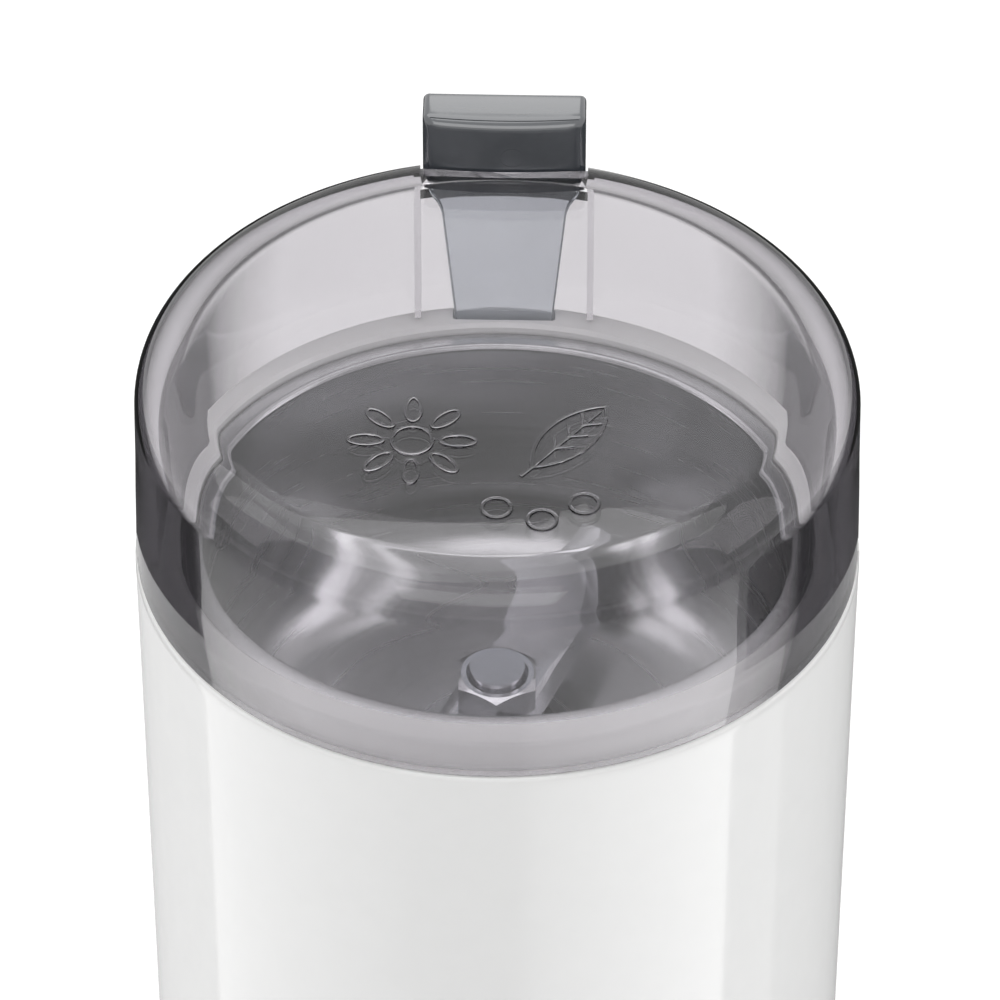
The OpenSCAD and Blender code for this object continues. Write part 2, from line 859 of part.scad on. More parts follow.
module tie_screws() {
    color("silver")
        at_corners(tie_x, tie_y)
            translate([0, 0, bottom_plate])
                screw(tie_r + 1.4, 1.8, tie_r, top_plate + bracket_t - bottom_plate);
}

module motor_grommets() {
    color("black")
        at_corners(mount_x, mount_y)
            rotate_extrude()
                difference() {
                    field(mount_screw_r + snug, grommet_foot, grommet_r, boss_foot);
                    field(grommet_r - groove_t - snug, top_plate - snug,
                        grommet_r + over, top_plate + bracket_t + snug);
                }
}

module motor_screws() {
    color("silver")
        at_corners(mount_x, mount_y)
            translate([0, 0, grommet_foot])
                screw(mount_screw_r + 1.6, 1.8, mount_screw_r, grommet_h + boss_h);
}

// ---- motor, the pieces that turn ----

module motor_shaft() {
    color("lightgray")
        rotate_extrude()
            union() {
                field(0, shaft_foot, shaft_foot_r, shaft_step + over);
                field(0, shaft_step, shaft_r, shaft_neck);
                field(0, shaft_neck - over, shaft_top_r, shaft_end);
            }
}

// One under each step of the shaft, against the two bearings
module thrust_washers() {
    color("tan") {
        ring(bottom_bearing_r - 1, shaft_foot_r + snug, shaft_step - 1 + slide_gap, shaft_step);
        ring(shaft_top_r + 1.1, shaft_top_r + snug, shaft_neck, top_bearing_z - slide_gap);
    }
}

module armature_core() {
    slot_wide = 3.4;
    slot_deep = 6;
    color("slategray")
        difference() {
            ring(armature_r, shaft_r + snug, stack_foot, stack_top);
            for (i = [0 : armature_slots - 1])
                rotate([0, 0, i * 360 / armature_slots])
                    block([armature_r - slot_deep, -slot_wide / 2, stack_foot - over],
                        [armature_r + over, slot_wide / 2, stack_top + over]);
        }
}

// Wire in every slot, joined by a ring of end turns above and below the stack
module armature_windings() {
    wire_wide = 3.2;
    color("peru")
        union() {
            for (i = [0 : armature_slots - 1])
                rotate([0, 0, i * 360 / armature_slots])
                    block([armature_r - 5.9, -wire_wide / 2, stack_foot - over],
                        [armature_r - 1, wire_wide / 2, stack_top + over]);
            ring(winding_r, shaft_r + 0.8, stack_foot - winding_end, stack_foot - snug);
            ring(winding_r, shaft_r + 0.8, stack_top + snug, stack_top + winding_end);
        }
}

module commutator() {
    color("chocolate")
        difference() {
            ring(commutator_r, shaft_r + snug, commutator_foot, commutator_top);
            for (i = [0 : commutator_bars - 1])
                rotate([0, 0, (i + 0.5) * 360 / commutator_bars])
                    block([commutator_r - 1, -0.25, commutator_foot - over],
                        [commutator_r + 1, 0.25, commutator_top + over]);
        }
}

module cooling_fan() {
    disc_t = 1.2;
    vane_t = 1.2;
    fan_hub = 7;
    color("white")
        union() {
            ring(fan_r, shaft_r + snug, fan_foot, fan_foot + disc_t);
            ring(fan_hub, shaft_r + snug, fan_foot, fan_top);
            for (i = [0 : fan_vanes - 1])
                rotate([0, 0, i * 360 / fan_vanes])
                    block([fan_hub - over, -vane_t / 2, fan_foot + disc_t / 2],
                        [fan_r - over, vane_t / 2, fan_top]);
        }
}

module blade_hub() {
    color("black")
        ring(hub_r, shaft_top_r + snug, hub_z, blade_z);
}

// One arm of the blade: its bent tip, cut from the same strip
module blade_arm(turn, bend) {
    rotate([0, 0, turn])
        translate([blade_flat - blade_lap, 0, blade_z])
            rotate([0, -bend, 0])
                linear_extrude(blade_t)
                    polygon([[0, -blade_w * 0.42], [blade_tip, -blade_w * 0.18],
                        [blade_tip, blade_w * 0.14], [0, blade_w * 0.3]]);
}

// A flat strip with one tip bent up and the other bent down
module blade() {
    color("silver")
        difference() {
            rotate([0, 0, blade_rest]) {
                translate([0, 0, blade_z])
                    linear_extrude(blade_t)
                        polygon([[-blade_flat, -blade_w * 0.3], [0, -blade_w / 2],
                            [blade_flat, -blade_w * 0.42], [blade_flat, blade_w * 0.3],
                            [0, blade_w / 2], [-blade_flat, blade_w * 0.42]]);
                blade_arm(0, blade_up);
                blade_arm(180, -blade_down);
            }
            translate([0, 0, blade_z - over])
                cylinder(r = shaft_top_r + snug, h = blade_t + 2 * over);
        }
}

module blade_nut() {
    color("silver")
        difference() {
            translate([0, 0, nut_z])
                cylinder(r = nut_r, h = nut_h, $fn = 6);
            translate([0, 0, nut_z - over])
                cylinder(r = shaft_top_r + snug, h = nut_h + 2 * over);
        }
}

// ---- switch ----

module switch_case() {
    ear_t = (switch_t - lever_w) / 2 - gap;
    color("dimgray")
        difference() {
            union() {
                block([switch_x0, switch_y0, switch_under], [switch_x1, switch_y1, switch_top]);
                // two ears and the lever's pin between them
                for (y = [switch_y0, switch_y1 - ear_t])
                    block([pivot_x - ear_half, y, switch_top - over],
                        [pivot_x + ear_half, y + ear_t, pivot_z + pivot_hub_r - 0.1]);
                translate([pivot_x, switch_y0, pivot_z])
                    rotate([-90, 0, 0])
                        cylinder(r = pivot_r, h = switch_t);
            }
            translate([plunger_x, lever_y, switch_top - plunger_bore])
                cylinder(r = plunger_r + running, h = plunger_bore + over);
            for (x = switch_screw_x)
                translate([x, switch_y0 - over, switch_screw_z])
                    rotate([-90, 0, 0])
                        cylinder(r = switch_screw_r + snug, h = switch_t + 2 * over);
        }
}

module switch_plunger() {
    color("red")
        translate([plunger_x, lever_y, plunger_foot])
            cylinder(r = plunger_r, h = plunger_top - plunger_foot);
}

module switch_lever() {
    color("silver")
        difference() {
            translate([pivot_x, lever_y - lever_w / 2, pivot_z])
                rotate([0, -lever_rise, 0])
                    union() {
                        block([0, 0, -lever_t / 2], [lever_reach + lever_tip, lever_w, lever_t / 2]);
                        rotate([-90, 0, 0])
                            cylinder(r = pivot_hub_r, h = lever_w);
                    }
            translate([pivot_x, lever_y - lever_w / 2 - over, pivot_z])
                rotate([-90, 0, 0])
                    cylinder(r = pivot_r + running, h = lever_w + 2 * over);
        }
}

module switch_bracket() {
    margin = 1;
    color("lightsteelblue")
        difference() {
            union() {
                block([switch_x0 - margin, bracket_y, switch_under - margin],
                    [switch_x1 + margin, switch_y0, deck_under]);
                block([switch_x0 - margin, bracket_y - bracket_flange, deck_under - bracket_sheet],
                    [switch_x1 + margin, switch_y0, deck_under]);
            }
            for (x = switch_screw_x) {
                translate([x, bracket_y - over, switch_screw_z])
                    rotate([-90, 0, 0])
                        cylinder(r = switch_screw_r + snug, h = bracket_sheet + 2 * over);
                translate([x, bracket_screw_y, deck_under - bracket_sheet - over])
                    cylinder(r = switch_screw_r + snug, h = bracket_sheet + 2 * over);
            }
        }
}

module switch_screws() {
    color("silver")
        for (x = switch_screw_x)
            translate([x, switch_y1, switch_screw_z])
                rotate([90, 0, 0])
                    screw(switch_screw_r + 0.8, 1.1, switch_screw_r, switch_t + bracket_sheet);
}

module bracket_screws() {
    color("silver")
        for (x = switch_screw_x)
            translate([x, bracket_screw_y, deck_under - bracket_sheet])
                screw(switch_screw_r + 0.8, 1.1, switch_screw_r, bracket_sheet + deck_screw_l);
}

// Flat blade in the rim's slot, round pin through the deck, and a pad over the switch lever
module push_rod() {
    color("whitesmoke")
        union() {
            block([-rod_w / 2, line_y - rod_t / 2, rod_shoulder],
                [rod_w / 2, line_y + rod_t / 2, rod_top]);
            block([-shoulder_w / 2, line_y - rod_t / 2, rod_shoulder],
                [shoulder_w / 2, line_y + rod_t / 2, rod_shoulder + rod_pad_t]);
            translate([0, line_y, rod_foot])
                cylinder(r = rod_r, h = rod_shoulder - rod_foot + over);
            block([-rod_pad_w / 2, lever_y - lever_w / 2, rod_foot],
                [rod_pad_w / 2, line_y + rod_r, rod_foot + rod_pad_t]);
        }
}

module rod_spring() {
    color("silver")
        translate([0, line_y, deck_top])
            coil(spring_r, wire_r, rod_shoulder - deck_top, spring_turns);
}

// ---- noise filter and wires ----

module noise_filter() {
    color("gold")
        block([-filter_w / 2, filter_y, filter_z],
            [filter_w / 2, filter_y + filter_d, filter_z + filter_h]);
}

// Routes of the insulated wires inside the body
lead_r = 0.8;
lead_gap = 0.3;
lead_sides = 8;
lead_y = filter_y + filter_d / 2;
filter_top = filter_z + filter_h;
lead_drop = switch_under - filter_top;
// the switch's tags, where its wires start
tag_x = [switch_x0 + switch_l / 2, switch_x0 + 0.7 * switch_l];
brush_lead_x = holder_x0 + holder_l / 2;
brush_lead_y = holder_w / 2 + lead_gap;
function brush_lead(side) = [
    [side * 4, lead_y, filter_z - lead_gap],
    [side * 4, lead_y, filter_z - 4],
    [side * 7, lead_y, filter_z - 9],
    [side * 13, lead_y - 4, brush_z + 4],
    [side * brush_lead_x, lead_y - 10, brush_z],
    [side * brush_lead_x, brush_lead_y + 6, brush_z],
    [side * brush_lead_x, brush_lead_y, brush_z]];
lead_routes = [
    brush_lead(1),
    brush_lead(-1),
    // switch to filter
    [[tag_x[0], lever_y, switch_under - lead_gap],
        [tag_x[0], lever_y, switch_under - 4],
        [-5, lever_y - 2, switch_under - lead_drop * 0.5],
        [-4, lead_y, filter_top + 4],
        [-4, lead_y, filter_top + lead_gap]],
    // switch to field coil
    [[tag_x[1], lever_y, switch_under - lead_gap],
        [tag_x[1], lever_y, switch_under - 3],
        [5, lever_y + 0.5, stack_top + 4],
        [12, lever_y, stack_top + 3],
        [17, lever_y - 5, stack_top + 3],
        [17.5, coil_y1 + 4, stack_top + 3],
        [17.5, coil_y1 + lead_gap, stack_top + 3]]
];

function unit(v) = v / norm(v);
// The point at share t of span i on a smooth curve through the list p
function curve_point(p, i, t) =
    let (n = len(p) - 1, a = p[max(i - 1, 0)], b = p[i], c = p[i + 1], d = p[min(i + 2, n)])
        0.5 * (2 * b + (c - a) * t + (2 * a - 5 * b + 4 * c - d) * t * t
            + (3 * b - a - 3 * c + d) * t * t * t);

module lead(route) {
    per = 3;
    spans = len(route) - 1;
    n = spans * per;
    path = [for (k = [0 : n])
        k == n ? route[spans] : curve_point(route, floor(k / per), (k % per) / per)];
    points = [for (k = [0 : n])
        let (run = unit(path[min(k + 1, n)] - path[max(k - 1, 0)]),
            u = unit(cross(run, [1, 0.3, 0.1])), v = cross(run, u))
            for (j = [0 : lead_sides - 1])
                let (a = 360 * j / lead_sides)
                    path[k] + lead_r * (cos(a) * u + sin(a) * v)];
    skin = [for (k = [0 : n - 1], j = [0 : lead_sides - 1])
        let (m = (j + 1) % lead_sides, a = k * lead_sides, b = a + lead_sides)
            [a + j, a + m, b + m, b + j]];
    first = [for (j = [lead_sides - 1 : -1 : 0]) j];
    last = [for (j = [0 : lead_sides - 1]) n * lead_sides + j];
    polyhedron(points = points, faces = concat([first], skin, [last]));
}

module lead_wires() {
    color("firebrick")
        for (route = lead_routes)
            lead(route);
}

// ---- lid ----

module lid_inside() {
    turned(body_k)
        half_section(lid_r - lid_wall, lid_top_r - lid_wall, lid_z0 - over, plate_under,
            inner_shoulder_r);
}

// The space of the button with its bowed front, grown by g on each side
module button_space(g, z0, z1) {
    bow_y = button_front - g + button_bow_r;
    intersection() {
        block([-button_w / 2 - g, button_front - g - over, z0], [button_w / 2 + g, body_d, z1]);
        translate([0, bow_y, z0 - over])
            cylinder(r = button_bow_r, h = z1 - z0 + 2 * over);
    }
}

// A bay leaf: a pointed outline with a midrib and side veins
module leaf_mark(length, width) {
    veins = 3;
    c = (length * length / width - width) / 4;
    r = c + width / 2;
    for (side = [-1, 1])
        intersection() {
            difference() {
                translate([0, side * c, 0])
                    cylinder(r = r, h = mark_h + over);
                translate([0, side * c, -over])
                    cylinder(r = r - mark_line, h = mark_h + 3 * over);
            }
            translate([0, -side * c, 0])
                cylinder(r = r, h = mark_h + over);
        }
    translate([-length * 0.62, -mark_line / 2, 0])
        cube([length * 1.02, mark_line, mark_h + over]);
    for (i = [0 : veins - 1], side = [-1, 1])
        translate([(i - 1) * length * 0.18, 0, 0])
            rotate([0, 0, side * 42])
                translate([0, -mark_line / 2, 0])
                    cube([width * 0.36, mark_line, mark_h + over]);
}

// Star anise: eight petals around a ring
module star_mark(r) {
    petals = 8;
    petal_l = r * 0.6;
    petal_w = r * 0.3;
    for (i = [0 : petals - 1])
        rotate([0, 0, i * 360 / petals])
            translate([r - petal_l / 2, 0, 0])
                difference() {
                    scale([1, petal_w / petal_l, 1])
                        cylinder(d = petal_l, h = mark_h + over);
                    translate([0, 0, -over])
                        scale([1, (petal_w - 1.6 * mark_line) / (petal_l - 2 * mark_line), 1])
                            cylinder(d = petal_l - 2 * mark_line, h = mark_h + 3 * over);
                }
    ring(r * 0.34, r * 0.34 - mark_line, 0, mark_h + over);
}

// Raised marks on the lid: where each lies, and the way the leaf points
star_at = [-10, -15];
star_size = 8;
leaf_at = [9, -14];
leaf_turn = 52;
leaf_size = [15, 6.4];
peppercorns = [[0.5, -27], [6, -29], [11, -26]];
peppercorn_r = 2;

module lid_marks() {
    translate([0, 0, lid_top - over]) {
        translate(star_at)
            star_mark(star_size);
        translate(leaf_at)
            rotate([0, 0, leaf_turn])
                leaf_mark(leaf_size[0], leaf_size[1]);
        for (p = peppercorns)
            translate(p)
                ring(peppercorn_r, peppercorn_r - mark_line, 0, mark_h + over);
    }
}

module lid() {
    rib_x = button_w / 2 + slide_gap + rib_t / 2;
    rib_foot = collar_top + gap + slide_gap;
    rib_in = 1.5;
    color("gray", 0.4)
        union() {
            difference() {
                turned(body_k)
                    half_section(lid_r, lid_top_r, lid_z0, lid_top, shoulder_r);
                difference() {
                    lid_inside();
                    // left standing: the ribs beside the button's leg
                    for (x = [-rib_x, rib_x])
                        block([x - rib_t / 2, line_y - rib_in, rib_foot],
                            [x + rib_t / 2, body_d, lid_top]);
                }
                // the notch that the button moves in, open at the back
                button_space(slide_gap, notch_floor, button_top);
            }
            lid_marks();
        }
}

// ---- button ----

// A rectangle with its two upper corners rounded, its middle at 0
module cap_section(w, r) {
    union() {
        round_rect(w, button_h, r);
        translate([-w / 2, -button_h / 2])
            square([w, button_h / 2]);
    }
}

module button_cap() {
    mid_y = (button_front + button_back) / 2;
    mid_z = button_foot + button_h / 2;
    color("slategray")
        difference() {
            intersection() {
                translate([0, button_back + 1, mid_z])
                    rotate([90, 0, 0])
                        linear_extrude(button_d + 2)
                            cap_section(button_w, button_side_r);
                translate([-button_w / 2 - 1, mid_y, mid_z])
                    rotate([90, 0, 90])
                        linear_extrude(button_w + 2)
                            cap_section(button_d, button_r);
                translate([0, 0, button_foot])
                    linear_extrude(button_h + 1)
                        intersection() {
                            translate([0, mid_y])
                                round_rect(button_w, button_d, button_r);
                            translate([0, button_front + button_bow_r])
                                circle(r = button_bow_r);
                        }
            }
            // socket of the leg
            block([-stem_top_w / 2 - snug, line_y - stem_t / 2 - snug, button_foot - over],
                [stem_top_w / 2 + snug, line_y + stem_t / 2 + snug,
                    button_foot + stem_socket + snug]);
        }
}

// The leg that reaches from the button down into the rim's slot
module button_stem() {
    foot = stem_foot_w / 2;
    flare_z = button_foot - stem_fillet_r * 0.9;
    flare = foot + stem_flare;
    top = stem_top_w / 2;
    color("lightsteelblue", 0.7)
        translate([0, line_y + stem_t / 2, 0])
            rotate([90, 0, 0])
                linear_extrude(stem_t)
                    union() {
                        polygon([[-foot, stem_foot], [foot, stem_foot], [foot, collar_top],
                            [flare, flare_z], [flare, button_foot], [-flare, button_foot],
                            [-flare, flare_z], [-foot, collar_top]]);
                        field(-top, button_foot - over, top, button_foot + stem_socket);
                        difference() {
                            field(-top, flare_z, top, button_foot);
                            for (side = [-1, 1])
                                translate([side * (flare + stem_fillet_r), flare_z])
                                    circle(r = stem_fillet_r);
                        }
                    }
}

housing();
bowl();
bowl_gasket();
shaft_seal();
base_cover();
feet();
base_screws();
cord_gland();
motor_top_bracket();
motor_bottom_bracket();
top_bearing();
bottom_bearing();
field_core();
field_coils();
brush_holders();
carbon_brushes();
brush_springs();
tie_screws();
motor_grommets();
motor_screws();
switch_case();
switch_bracket();
switch_screws();
bracket_screws();
noise_filter();
lead_wires();
rod_spring();
push_rod();
switch_lever();
switch_plunger();
motor_shaft();
thrust_washers();
armature_core();
armature_windings();
commutator();
cooling_fan();
blade_hub();
blade();
blade_nut();
lid();
button_cap();
button_stem();
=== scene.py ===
# %% [markdown]
# Electric blade grinder for spices and coffee beans.
#
# This notebook dresses the imported CAD model. The model gives the frame: every piece that is
# made here sits where its CAD node sits, in metres, and moves with the same body.
# We first load the frame.

import math
import bmesh
import bpy
from mathutils import Matrix, Vector


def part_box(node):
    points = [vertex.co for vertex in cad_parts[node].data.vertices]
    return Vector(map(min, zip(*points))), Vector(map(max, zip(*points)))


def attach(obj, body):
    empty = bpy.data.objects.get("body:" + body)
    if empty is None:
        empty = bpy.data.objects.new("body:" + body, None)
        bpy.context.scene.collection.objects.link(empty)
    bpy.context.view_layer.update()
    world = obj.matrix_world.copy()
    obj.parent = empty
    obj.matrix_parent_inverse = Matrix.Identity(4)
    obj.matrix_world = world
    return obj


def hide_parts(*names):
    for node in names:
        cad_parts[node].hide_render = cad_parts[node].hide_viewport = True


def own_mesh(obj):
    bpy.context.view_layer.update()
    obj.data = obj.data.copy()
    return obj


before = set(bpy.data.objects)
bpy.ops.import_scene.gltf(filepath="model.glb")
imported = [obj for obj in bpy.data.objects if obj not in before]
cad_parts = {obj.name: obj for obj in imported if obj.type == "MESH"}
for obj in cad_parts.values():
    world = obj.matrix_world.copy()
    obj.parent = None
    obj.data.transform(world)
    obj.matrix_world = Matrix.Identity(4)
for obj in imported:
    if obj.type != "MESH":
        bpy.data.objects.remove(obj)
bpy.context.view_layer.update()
MM = 0.001
SAME = 1e-7  # two numbers that differ by less, in metres, are taken as the same

# %% [markdown]
# The camera looks down on the grinder through a long lens, as a product photographer would
# stand a few steps away. A long lens keeps the oval of the lid free of distortion.
# The aim is the middle of the seam between body and lid, and a small shift moves that point
# a little below the middle of the picture, so that the button keeps some air above it.

# %% Camera
SEAM_Z = 134 * MM
AZIMUTH, ELEVATION = math.radians(1.3), math.radians(42.3)
DISTANCE = 1.125
back = Vector((math.sin(AZIMUTH) * math.cos(ELEVATION),
               -math.cos(AZIMUTH) * math.cos(ELEVATION),
               math.sin(ELEVATION)))
camera = bpy.data.objects.new("camera", bpy.data.cameras.new("camera"))
bpy.context.scene.collection.objects.link(camera)
bpy.context.scene.camera = camera
camera.data.sensor_width = 36
camera.data.lens = 325.8
camera.data.shift_x, camera.data.shift_y = 0.0026, 0.0419
camera.data.clip_start, camera.data.clip_end = 0.05, 20
camera.location = Vector((0, 0, SEAM_Z)) + back * DISTANCE
camera.rotation_euler = (-back).to_track_quat("-Z", "Y").to_euler()
print("camera stands", round(camera.location.z, 3), "m above the table")

# %% [markdown]
# Most pieces of the grinder are turned: a profile goes once round the vertical axis. The
# grinder is oval, so each turned piece is squeezed a little along Y afterwards.
# `lathe` takes the profile as (radius, height) points in millimetres. A third number rounds
# that corner with a vertex bevel, before the spin. A profile that starts and ends on the axis
# gives a closed solid, and a looped profile gives a ring.

# %% Turned shapes
STEPS = 160
print("a turned piece has", STEPS, "steps, which is one every", 360 / STEPS, "degrees")


def close_up(bm):
    """Merges doubles and turns all faces outwards."""
    bmesh.ops.remove_doubles(bm, verts=bm.verts, dist=0.002 * MM)
    bmesh.ops.recalc_face_normals(bm, faces=bm.faces)
    return bm


def lathe(profile, squeeze=1.0, loop=False, steps=STEPS):
    """Points are (radius, height), (..., rounding) or (..., rounding, its segments)."""
    bm = bmesh.new()
    corners = [bm.verts.new((p[0] * MM, 0, p[1] * MM)) for p in profile]
    for a, b in zip(corners, corners[1:] + corners[:1] if loop else corners[1:]):
        bm.edges.new((a, b))
    for corner, p in zip(corners, profile):
        if len(p) > 2:
            bmesh.ops.bevel(bm, geom=[corner], offset=p[2] * MM, offset_type="OFFSET",
                            segments=p[3] if len(p) > 3 else 6, profile=0.5,
                            affect="VERTICES", material=-1)
    bmesh.ops.spin(bm, geom=bm.verts[:] + bm.edges[:], cent=(0, 0, 0), axis=(0, 0, 1),
                   angle=2 * math.pi, steps=steps, use_merge=True)
    bmesh.ops.scale(bm, vec=(1, squeeze, 1), verts=bm.verts)
    return close_up(bm)


# %% [markdown]
# Straight pieces start as a cube that is scaled to a box between two corners, or as a flat
# outline that is raised. Rounded edges are what makes a moulded part look real, so
# `bevel_edges` rounds the edges that a small test picks, such as only the upright ones.
# `cut_at` slices a shape across, which gives it the extra points that a bend needs.

# %% Boxes and prisms
def bevel_edges(bm, width, segments, pick):
    bmesh.ops.bevel(bm, geom=[e for e in bm.edges if pick(e)], offset=width * MM,
                    offset_type="OFFSET", segments=segments, profile=0.5, affect="EDGES",
                    material=-1)


def is_upright(slant_shade_color):
    a, b = slant_shade_color.verts
    return abs(a.co.x - b.co.x) < SAME and abs(a.co.y - b.co.y) < SAME


def lies(axis, value):
    """A test for edges whose two ends both lie at this value along an axis."""
    return lambda e: all(abs(v.co[axis] - value * MM) < SAME for v in e.verts)


def is_sharp(least):
    """A test for edges whose two faces turn by more than this many radians."""
    return lambda e: e.calc_face_angle(0) > least


def block(low, high):
    bm = bmesh.new()
    bmesh.ops.create_cube(bm, size=1)
    size = [(h - l) * MM for l, h in zip(low, high)]
    middle = [(h + l) / 2 * MM for l, h in zip(low, high)]
    bmesh.ops.scale(bm, vec=size, verts=bm.verts)
    bmesh.ops.translate(bm, vec=middle, verts=bm.verts)
    return bm


def flat_face(outline, z=0):
    bm = bmesh.new()
    bm.faces.new([bm.verts.new((x * MM, y * MM, z * MM)) for x, y in outline])
    return bm


def raise_faces(bm, height):
    """Extrudes all faces upwards into a closed shape."""
    top = bmesh.ops.extrude_face_region(bm, geom=bm.faces[:])["geom"]
    bmesh.ops.translate(bm, vec=(0, 0, height * MM),
                        verts=[g for g in top if isinstance(g, bmesh.types.BMVert)])
    return close_up(bm)


def prism(outline, z0, z1):
    return raise_faces(flat_face(outline, z0), z1 - z0)


def cylinder(radius, z0, z1, at=(0, 0), segments=64):
    bm = bmesh.new()
    bmesh.ops.create_cone(bm, cap_ends=True, cap_tris=False, segments=segments,
                          radius1=radius * MM, radius2=radius * MM, depth=(z1 - z0) * MM)
    bmesh.ops.translate(bm, vec=(at[0] * MM, at[1] * MM, (z0 + z1) / 2 * MM), verts=bm.verts)
    return bm


def cut_at(bm, x):
    bmesh.ops.bisect_plane(bm, geom=bm.verts[:] + bm.edges[:] + bm.faces[:], dist=1e-8,
                           plane_co=(x * MM, 0, 0), plane_no=(1, 0, 0))


def slice_across(bm, half, slices=24):
    """Cuts a shape into even slices between -half and half."""
    for i in range(1, slices):
        cut_at(bm, (2 * i / slices - 1) * half)


def turn(bm, angle, axis):
    bmesh.ops.rotate(bm, cent=(0, 0, 0), verts=bm.verts,
                     matrix=Matrix.Rotation(math.radians(angle), 3, axis))
    return bm


def shift(bm, offset):
    bmesh.ops.translate(bm, vec=Vector(offset) * MM, verts=bm.verts)
    return bm


# %% [markdown]
# A finished shape becomes an object. Joints and slots are cut with a Boolean modifier, whose
# result is kept as the new mesh. Faces that meet at a shallow angle are shaded smooth, and
# sharp corners stay sharp. `dress` then puts the piece on the body that it rides on, hides the
# CAD node that it stands for and gives it its finish.

# %% From shape to piece
def piece_from(bm, name):
    mesh = bpy.data.meshes.new(name)
    bm.to_mesh(mesh)
    bm.free()
    made = bpy.data.objects.new(name, mesh)
    bpy.context.scene.collection.objects.link(made)
    return made


def combine(piece, bm, how="DIFFERENCE"):
    """Cuts the shape bm out of a piece, or joins or crosses it with the piece."""
    open_edges = sum(not e.is_manifold for e in bm.edges)
    if open_edges:
        raise ValueError(f"the shape for {piece.name} has {open_edges} open edges")
    tool = piece_from(bm, "tool")
    modifier = piece.modifiers.new("cut", "BOOLEAN")
    modifier.operation, modifier.solver, modifier.object = how, "MANIFOLD", tool
    depsgraph = bpy.context.evaluated_depsgraph_get()
    mesh = bpy.data.meshes.new_from_object(piece.evaluated_get(depsgraph))
    piece.modifiers.clear()
    before, piece.data = piece.data, mesh
    bpy.data.meshes.remove(before)
    bpy.data.objects.remove(tool)
    if not mesh.polygons:
        raise ValueError(f"{piece.name} came out empty")
    return piece


def dress(piece, body, slot, material, *nodes, angle=32):
    mesh = piece.data
    mesh.shade_smooth()
    mesh.set_sharp_from_angle(angle=math.radians(angle))
    mesh.materials.clear()
    mesh.materials.append(material)
    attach(piece, body)
    if nodes:
        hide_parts(*nodes)
    low, high = (Vector(f(v.co[i] for v in mesh.vertices) for i in range(3)) for f in (min, max))
    size = ", ".join(f"{x / MM:.1f}" for x in high - low)
    print(f"{piece.name}: {len(mesh.polygons)} faces, {size} mm")
    return piece


# %% [markdown]
# Finishes. Every material is a Principled shader with a pattern made from the piece's own
# coordinates: a little change in colour, roughness and height is what tells the eye that a
# surface is moulded, turned or drawn. `finish` builds that pattern from a noise. `stretch`
# squeezes the noise along an axis, `along` turns that axis, and `rings` lets the noise run
# round the vertical axis, as the marks of a spinning tool or a polishing wheel do.

# %% A finish from one noise
NOISE_LOW, NOISE_HIGH = 0.3, 0.7  # a noise seldom leaves this range


def finish(name, color, roughness, metallic=0.0, tone=0.06, grain=900, stretch=(1, 1, 1),
           along=0, rings=False, uneven=0.08, bump=0.02, detail=3.0, **sockets):
    material = bpy.data.materials.new(name)
    material.use_nodes = True
    tree = material.node_tree
    shader = tree.nodes["Principled BSDF"]
    shader.inputs["Metallic"].default_value = metallic
    for socket, value in sockets.items():
        shader.inputs[socket.replace("_", " ")].default_value = value

    def add(kind, **settings):
        node = tree.nodes.new(kind)
        for key, value in settings.items():
            setattr(node, key, value)
        return node

    place = add("ShaderNodeTexCoord").outputs["Object"]
    if rings:
        split = add("ShaderNodeSeparateXYZ")
        tree.links.new(place, split.inputs[0])
        flat = add("ShaderNodeVectorMath", operation="MULTIPLY")
        tree.links.new(place, flat.inputs[0])
        flat.inputs[1].default_value = (1, 1.05, 0)  # the rings are slightly oval
        radius = add("ShaderNodeVectorMath", operation="LENGTH")
        tree.links.new(flat.outputs[0], radius.inputs[0])
        around = add("ShaderNodeCombineXYZ")
        tree.links.new(radius.outputs["Value"], around.inputs[0])
        tree.links.new(split.outputs[2], around.inputs[2])
        place = around.outputs[0]
    mapping = add("ShaderNodeMapping", vector_type="TEXTURE")
    mapping.inputs["Scale"].default_value = [1 / s for s in stretch]
    mapping.inputs["Rotation"].default_value = (0, 0, math.radians(along))
    tree.links.new(place, mapping.inputs["Vector"])
    noise = add("ShaderNodeTexNoise")
    noise.inputs["Scale"].default_value = grain
    noise.inputs["Detail"].default_value = detail
    tree.links.new(mapping.outputs[0], noise.inputs["Vector"])

    def ramp(low, high):
        node = add("ShaderNodeMapRange")
        node.inputs["From Min"].default_value = NOISE_LOW
        node.inputs["From Max"].default_value = NOISE_HIGH
        node.inputs["To Min"].default_value, node.inputs["To Max"].default_value = low, high
        tree.links.new(noise.outputs["Fac"], node.inputs["Value"])
        return node.outputs["Result"]

    mix = add("ShaderNodeMix", data_type="RGBA")
    mix.inputs["A"].default_value = (*[c * (1 - tone) for c in color[:3]], 1)
    mix.inputs["B"].default_value = (*[min(1, c * (1 + tone)) for c in color[:3]], 1)
    tree.links.new(ramp(0, 1), mix.inputs["Factor"])
    tree.links.new(mix.outputs["Result"], shader.inputs["Base Color"])
    tree.links.new(ramp(roughness * (1 - uneven), roughness * (1 + uneven)),
                   shader.inputs["Roughness"])
    if bump:
        height = add("ShaderNodeBump")
        height.inputs["Strength"].default_value = bump
        height.inputs["Distance"].default_value = 0.1 * MM
        tree.links.new(noise.outputs["Fac"], height.inputs["Height"])
        tree.links.new(height.outputs["Normal"], shader.inputs["Normal"])
    return material


# %% [markdown]
# The numbers below say what each finish is: its colour, how rough it is, how metallic, and
# how its noise runs. Moulded plastics hardly vary and are smooth. Die-cast metal is lumpy.
# Wound copper and stacked iron sheets get their fine lines from a noise that is stretched.

